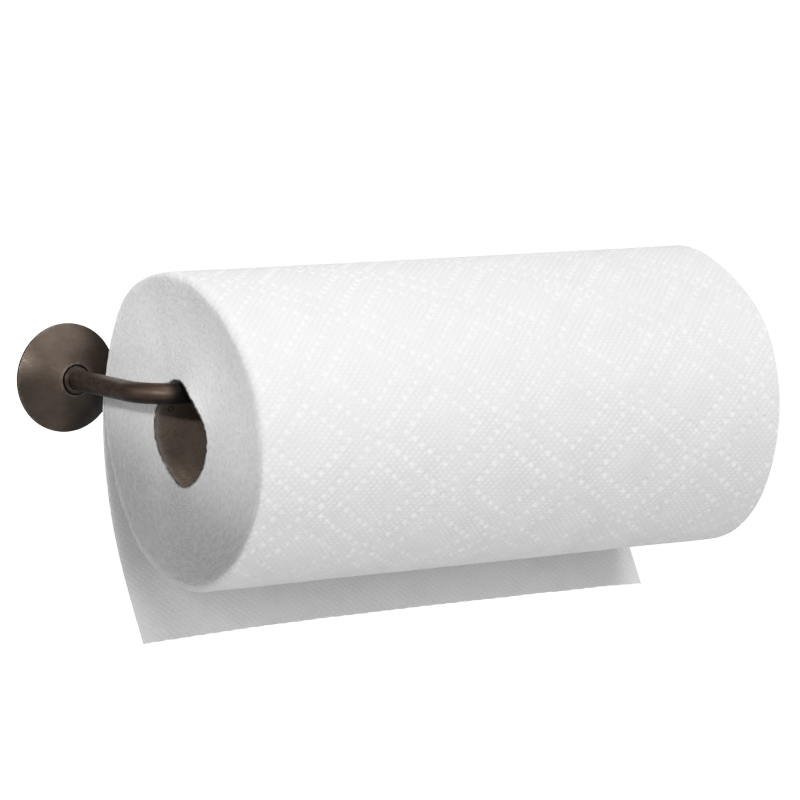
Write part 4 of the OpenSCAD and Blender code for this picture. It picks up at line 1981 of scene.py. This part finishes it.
@dataclass
class Studio:
    """The floor, the light and the camera.

    Args:
        place: Where the roll is.
        floor_drop: How far the floor is below the wall mount.
        floor_size: The floor's side.
        turn: How far the camera is turned towards the near end from the wall's normal.
        tip: How far it looks down.
        distance: How far it is from its aim.
        lens: Its focal length, in the camera's own millimetres.
        sensor: Its sensor's width, in the same.
        aim_along: How far its aim is along the roll from the near end.
        aim_up: How far its aim is above the roll's axis.
        ambient: The brightness of the world.
        film: The picture's curve.
    """

    place: RollPlace
    floor_drop: float = 0.55
    floor_size: float = 60.0
    turn: float = math.radians(32.444)
    tip: float = math.radians(7.295)
    distance: float = 1.8908
    lens: float = 186.19
    sensor: float = 36.0
    aim_along: float = 115.57 * MM
    aim_up: float = 7.41 * MM
    ambient: float = 0.08
    film: Film = Film()

    def camera(self) -> bpy.types.Object:
        """Sets up the camera, which looks along the roll from its near end and a little down.

        Returns:
            The camera.
        """
        data = bpy.data.cameras.new("camera")
        data.lens, data.sensor_width = self.lens, self.sensor
        data.clip_start, data.clip_end = 0.05, 200.0
        made = bpy.data.objects.new("camera", data)
        level = math.cos(self.tip)
        ahead = Vector((math.sin(self.turn) * level, math.cos(self.turn) * level, -math.sin(self.tip)))
        place = self.place
        target = Vector((place.near + self.aim_along, place.axis_y, place.axis_z + self.aim_up))
        made.location = target - ahead * self.distance
        made.rotation_euler = ahead.to_track_quat("-Z", "Y").to_euler()
        bpy.context.scene.collection.objects.link(made)
        bpy.context.scene.camera = made
        return made

    def floor(self) -> bpy.types.Object:
        """Lays the floor well below the holder.

        Returns:
            The floor.
        """
        half, down = self.floor_size / 2, -self.floor_drop
        mesh = bpy.data.meshes.new("studio_floor")
        corners = [(-half, -half, down), (half, -half, down), (half, half, down), (-half, half, down)]
        mesh.from_pydata(corners, [], [(0, 1, 2, 3)])
        made = bpy.data.objects.new("studio_floor", mesh)
        mesh.materials.append(FloorFinish("pale_floor", white=self.film.white).make())
        bpy.context.scene.collection.objects.link(made)
        return made

    def world(self) -> bpy.types.World:
        """Makes an even, pale world, a little brighter behind the object than in its light.

        Returns:
            The world.
        """
        world = bpy.data.worlds.new("studio_world")
        world.use_nodes = True
        world.node_tree.nodes.clear()
        wiring = Wiring(world.node_tree)
        seen = wiring.add("LightPath").outputs["Is Camera Ray"]
        strength = wiring.spread(seen, 0.0, 1.0, self.ambient, self.film.white)
        light = wiring.add("Background", None, Color=(1, 1, 1, 1), Strength=strength)
        wiring.feed(wiring.add("OutputWorld").inputs["Surface"], light.outputs[0])
        bpy.context.scene.world = world
        return world

    def lights(self) -> list[bpy.types.Object]:
        """Hangs the soft lights.

        Returns:
            The lights.
        """
        near_end, far_end = (self.place.near, -0.06, -0.01), (self.place.far, -0.08, 0.03)
        plan = (
            Lamp("left_low", -88.0, 20.0, 1.6, 0.9, 4.4),
            Lamp("left_top", -40.0, 65.0, 1.6, 0.9, 6.3),
            Lamp("front_low", 0.0, 5.0, 1.6, 0.9, 7.5),
            Lamp("front_under", -35.0, -35.0, 1.6, 0.9, 1.9),
            Lamp("front_high", 0.0, 35.0, 1.6, 0.9, 5.8),
            Lamp("right_high", 40.0, 45.0, 1.6, 0.9, 8.2),
            Lamp("back_fill", 170.0, 25.0, 1.6, 0.9, 3.0),
            Lamp("right_top", 60.0, 76.0, 1.6, 0.9, 3.6),
            Lamp("right_spot", 50.0, 60.0, 1.6, 0.3, 34.0, far_end, 6.0, (0.32, -0.08, 0.05)),
            Lamp("key_spot", -45.6, 20.3, 1.6, 0.14, 77.0, near_end, 6.5, (0.03, -0.08, 0.10)),
        )
        return [light.build() for light in plan]

    def build(self) -> None:
        """Sets up the whole studio."""
        self.world()
        self.floor()
        self.lights()
        self.camera()
        self.film.load()


def main() -> None:
    """Builds the studio and each sub-assembly in order."""
    logging.basicConfig(level=logging.INFO, format="%(name)s: %(message)s")
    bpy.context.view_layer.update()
    place = RollPlace.read()
    lattice = DotLattice()
    Studio(place).build()
    # The skin's pins and dots: their painted light and shade fades by half on the roll's underside.
    towel = TowelFinish("towel_face", underside_fade=0.5).make()
    layers = LayerFinish("towel_edges", axis=(place.axis_y, place.axis_z)).make()
    card = CardFinish("wound_board").make()
    paper = PaperRoll(place, lattice, finishes=(towel, layers))
    pieces = [*Holder(place).dress(), *paper.build(), CardCore(place, finish=card).build()]
    loose_from = paper.seam * place.radius
    # The loose sheet's painted shadow of the roll: full up to dim_from along the web, gone by dim_to.
    dim_from, dim_to = loose_from + 66 * MM, loose_from + 103 * MM
    inside = TowelFinish(
        "towel_back",
        shade=(0.73, 0.73, 0.73),
        dots=0.05,
        pins=0.31,
        shaded=(dim_from, dim_to),
    ).make()
    loose = LooseSheet(place, lattice, paper, finishes=(inside, towel))
    sheet = loose.build()
    place.length
    for piece in [*pieces, sheet]:
        LOG.info("%s: %d faces", piece.name, len(piece.data.polygons))


if __name__ == "__main__":
    main()
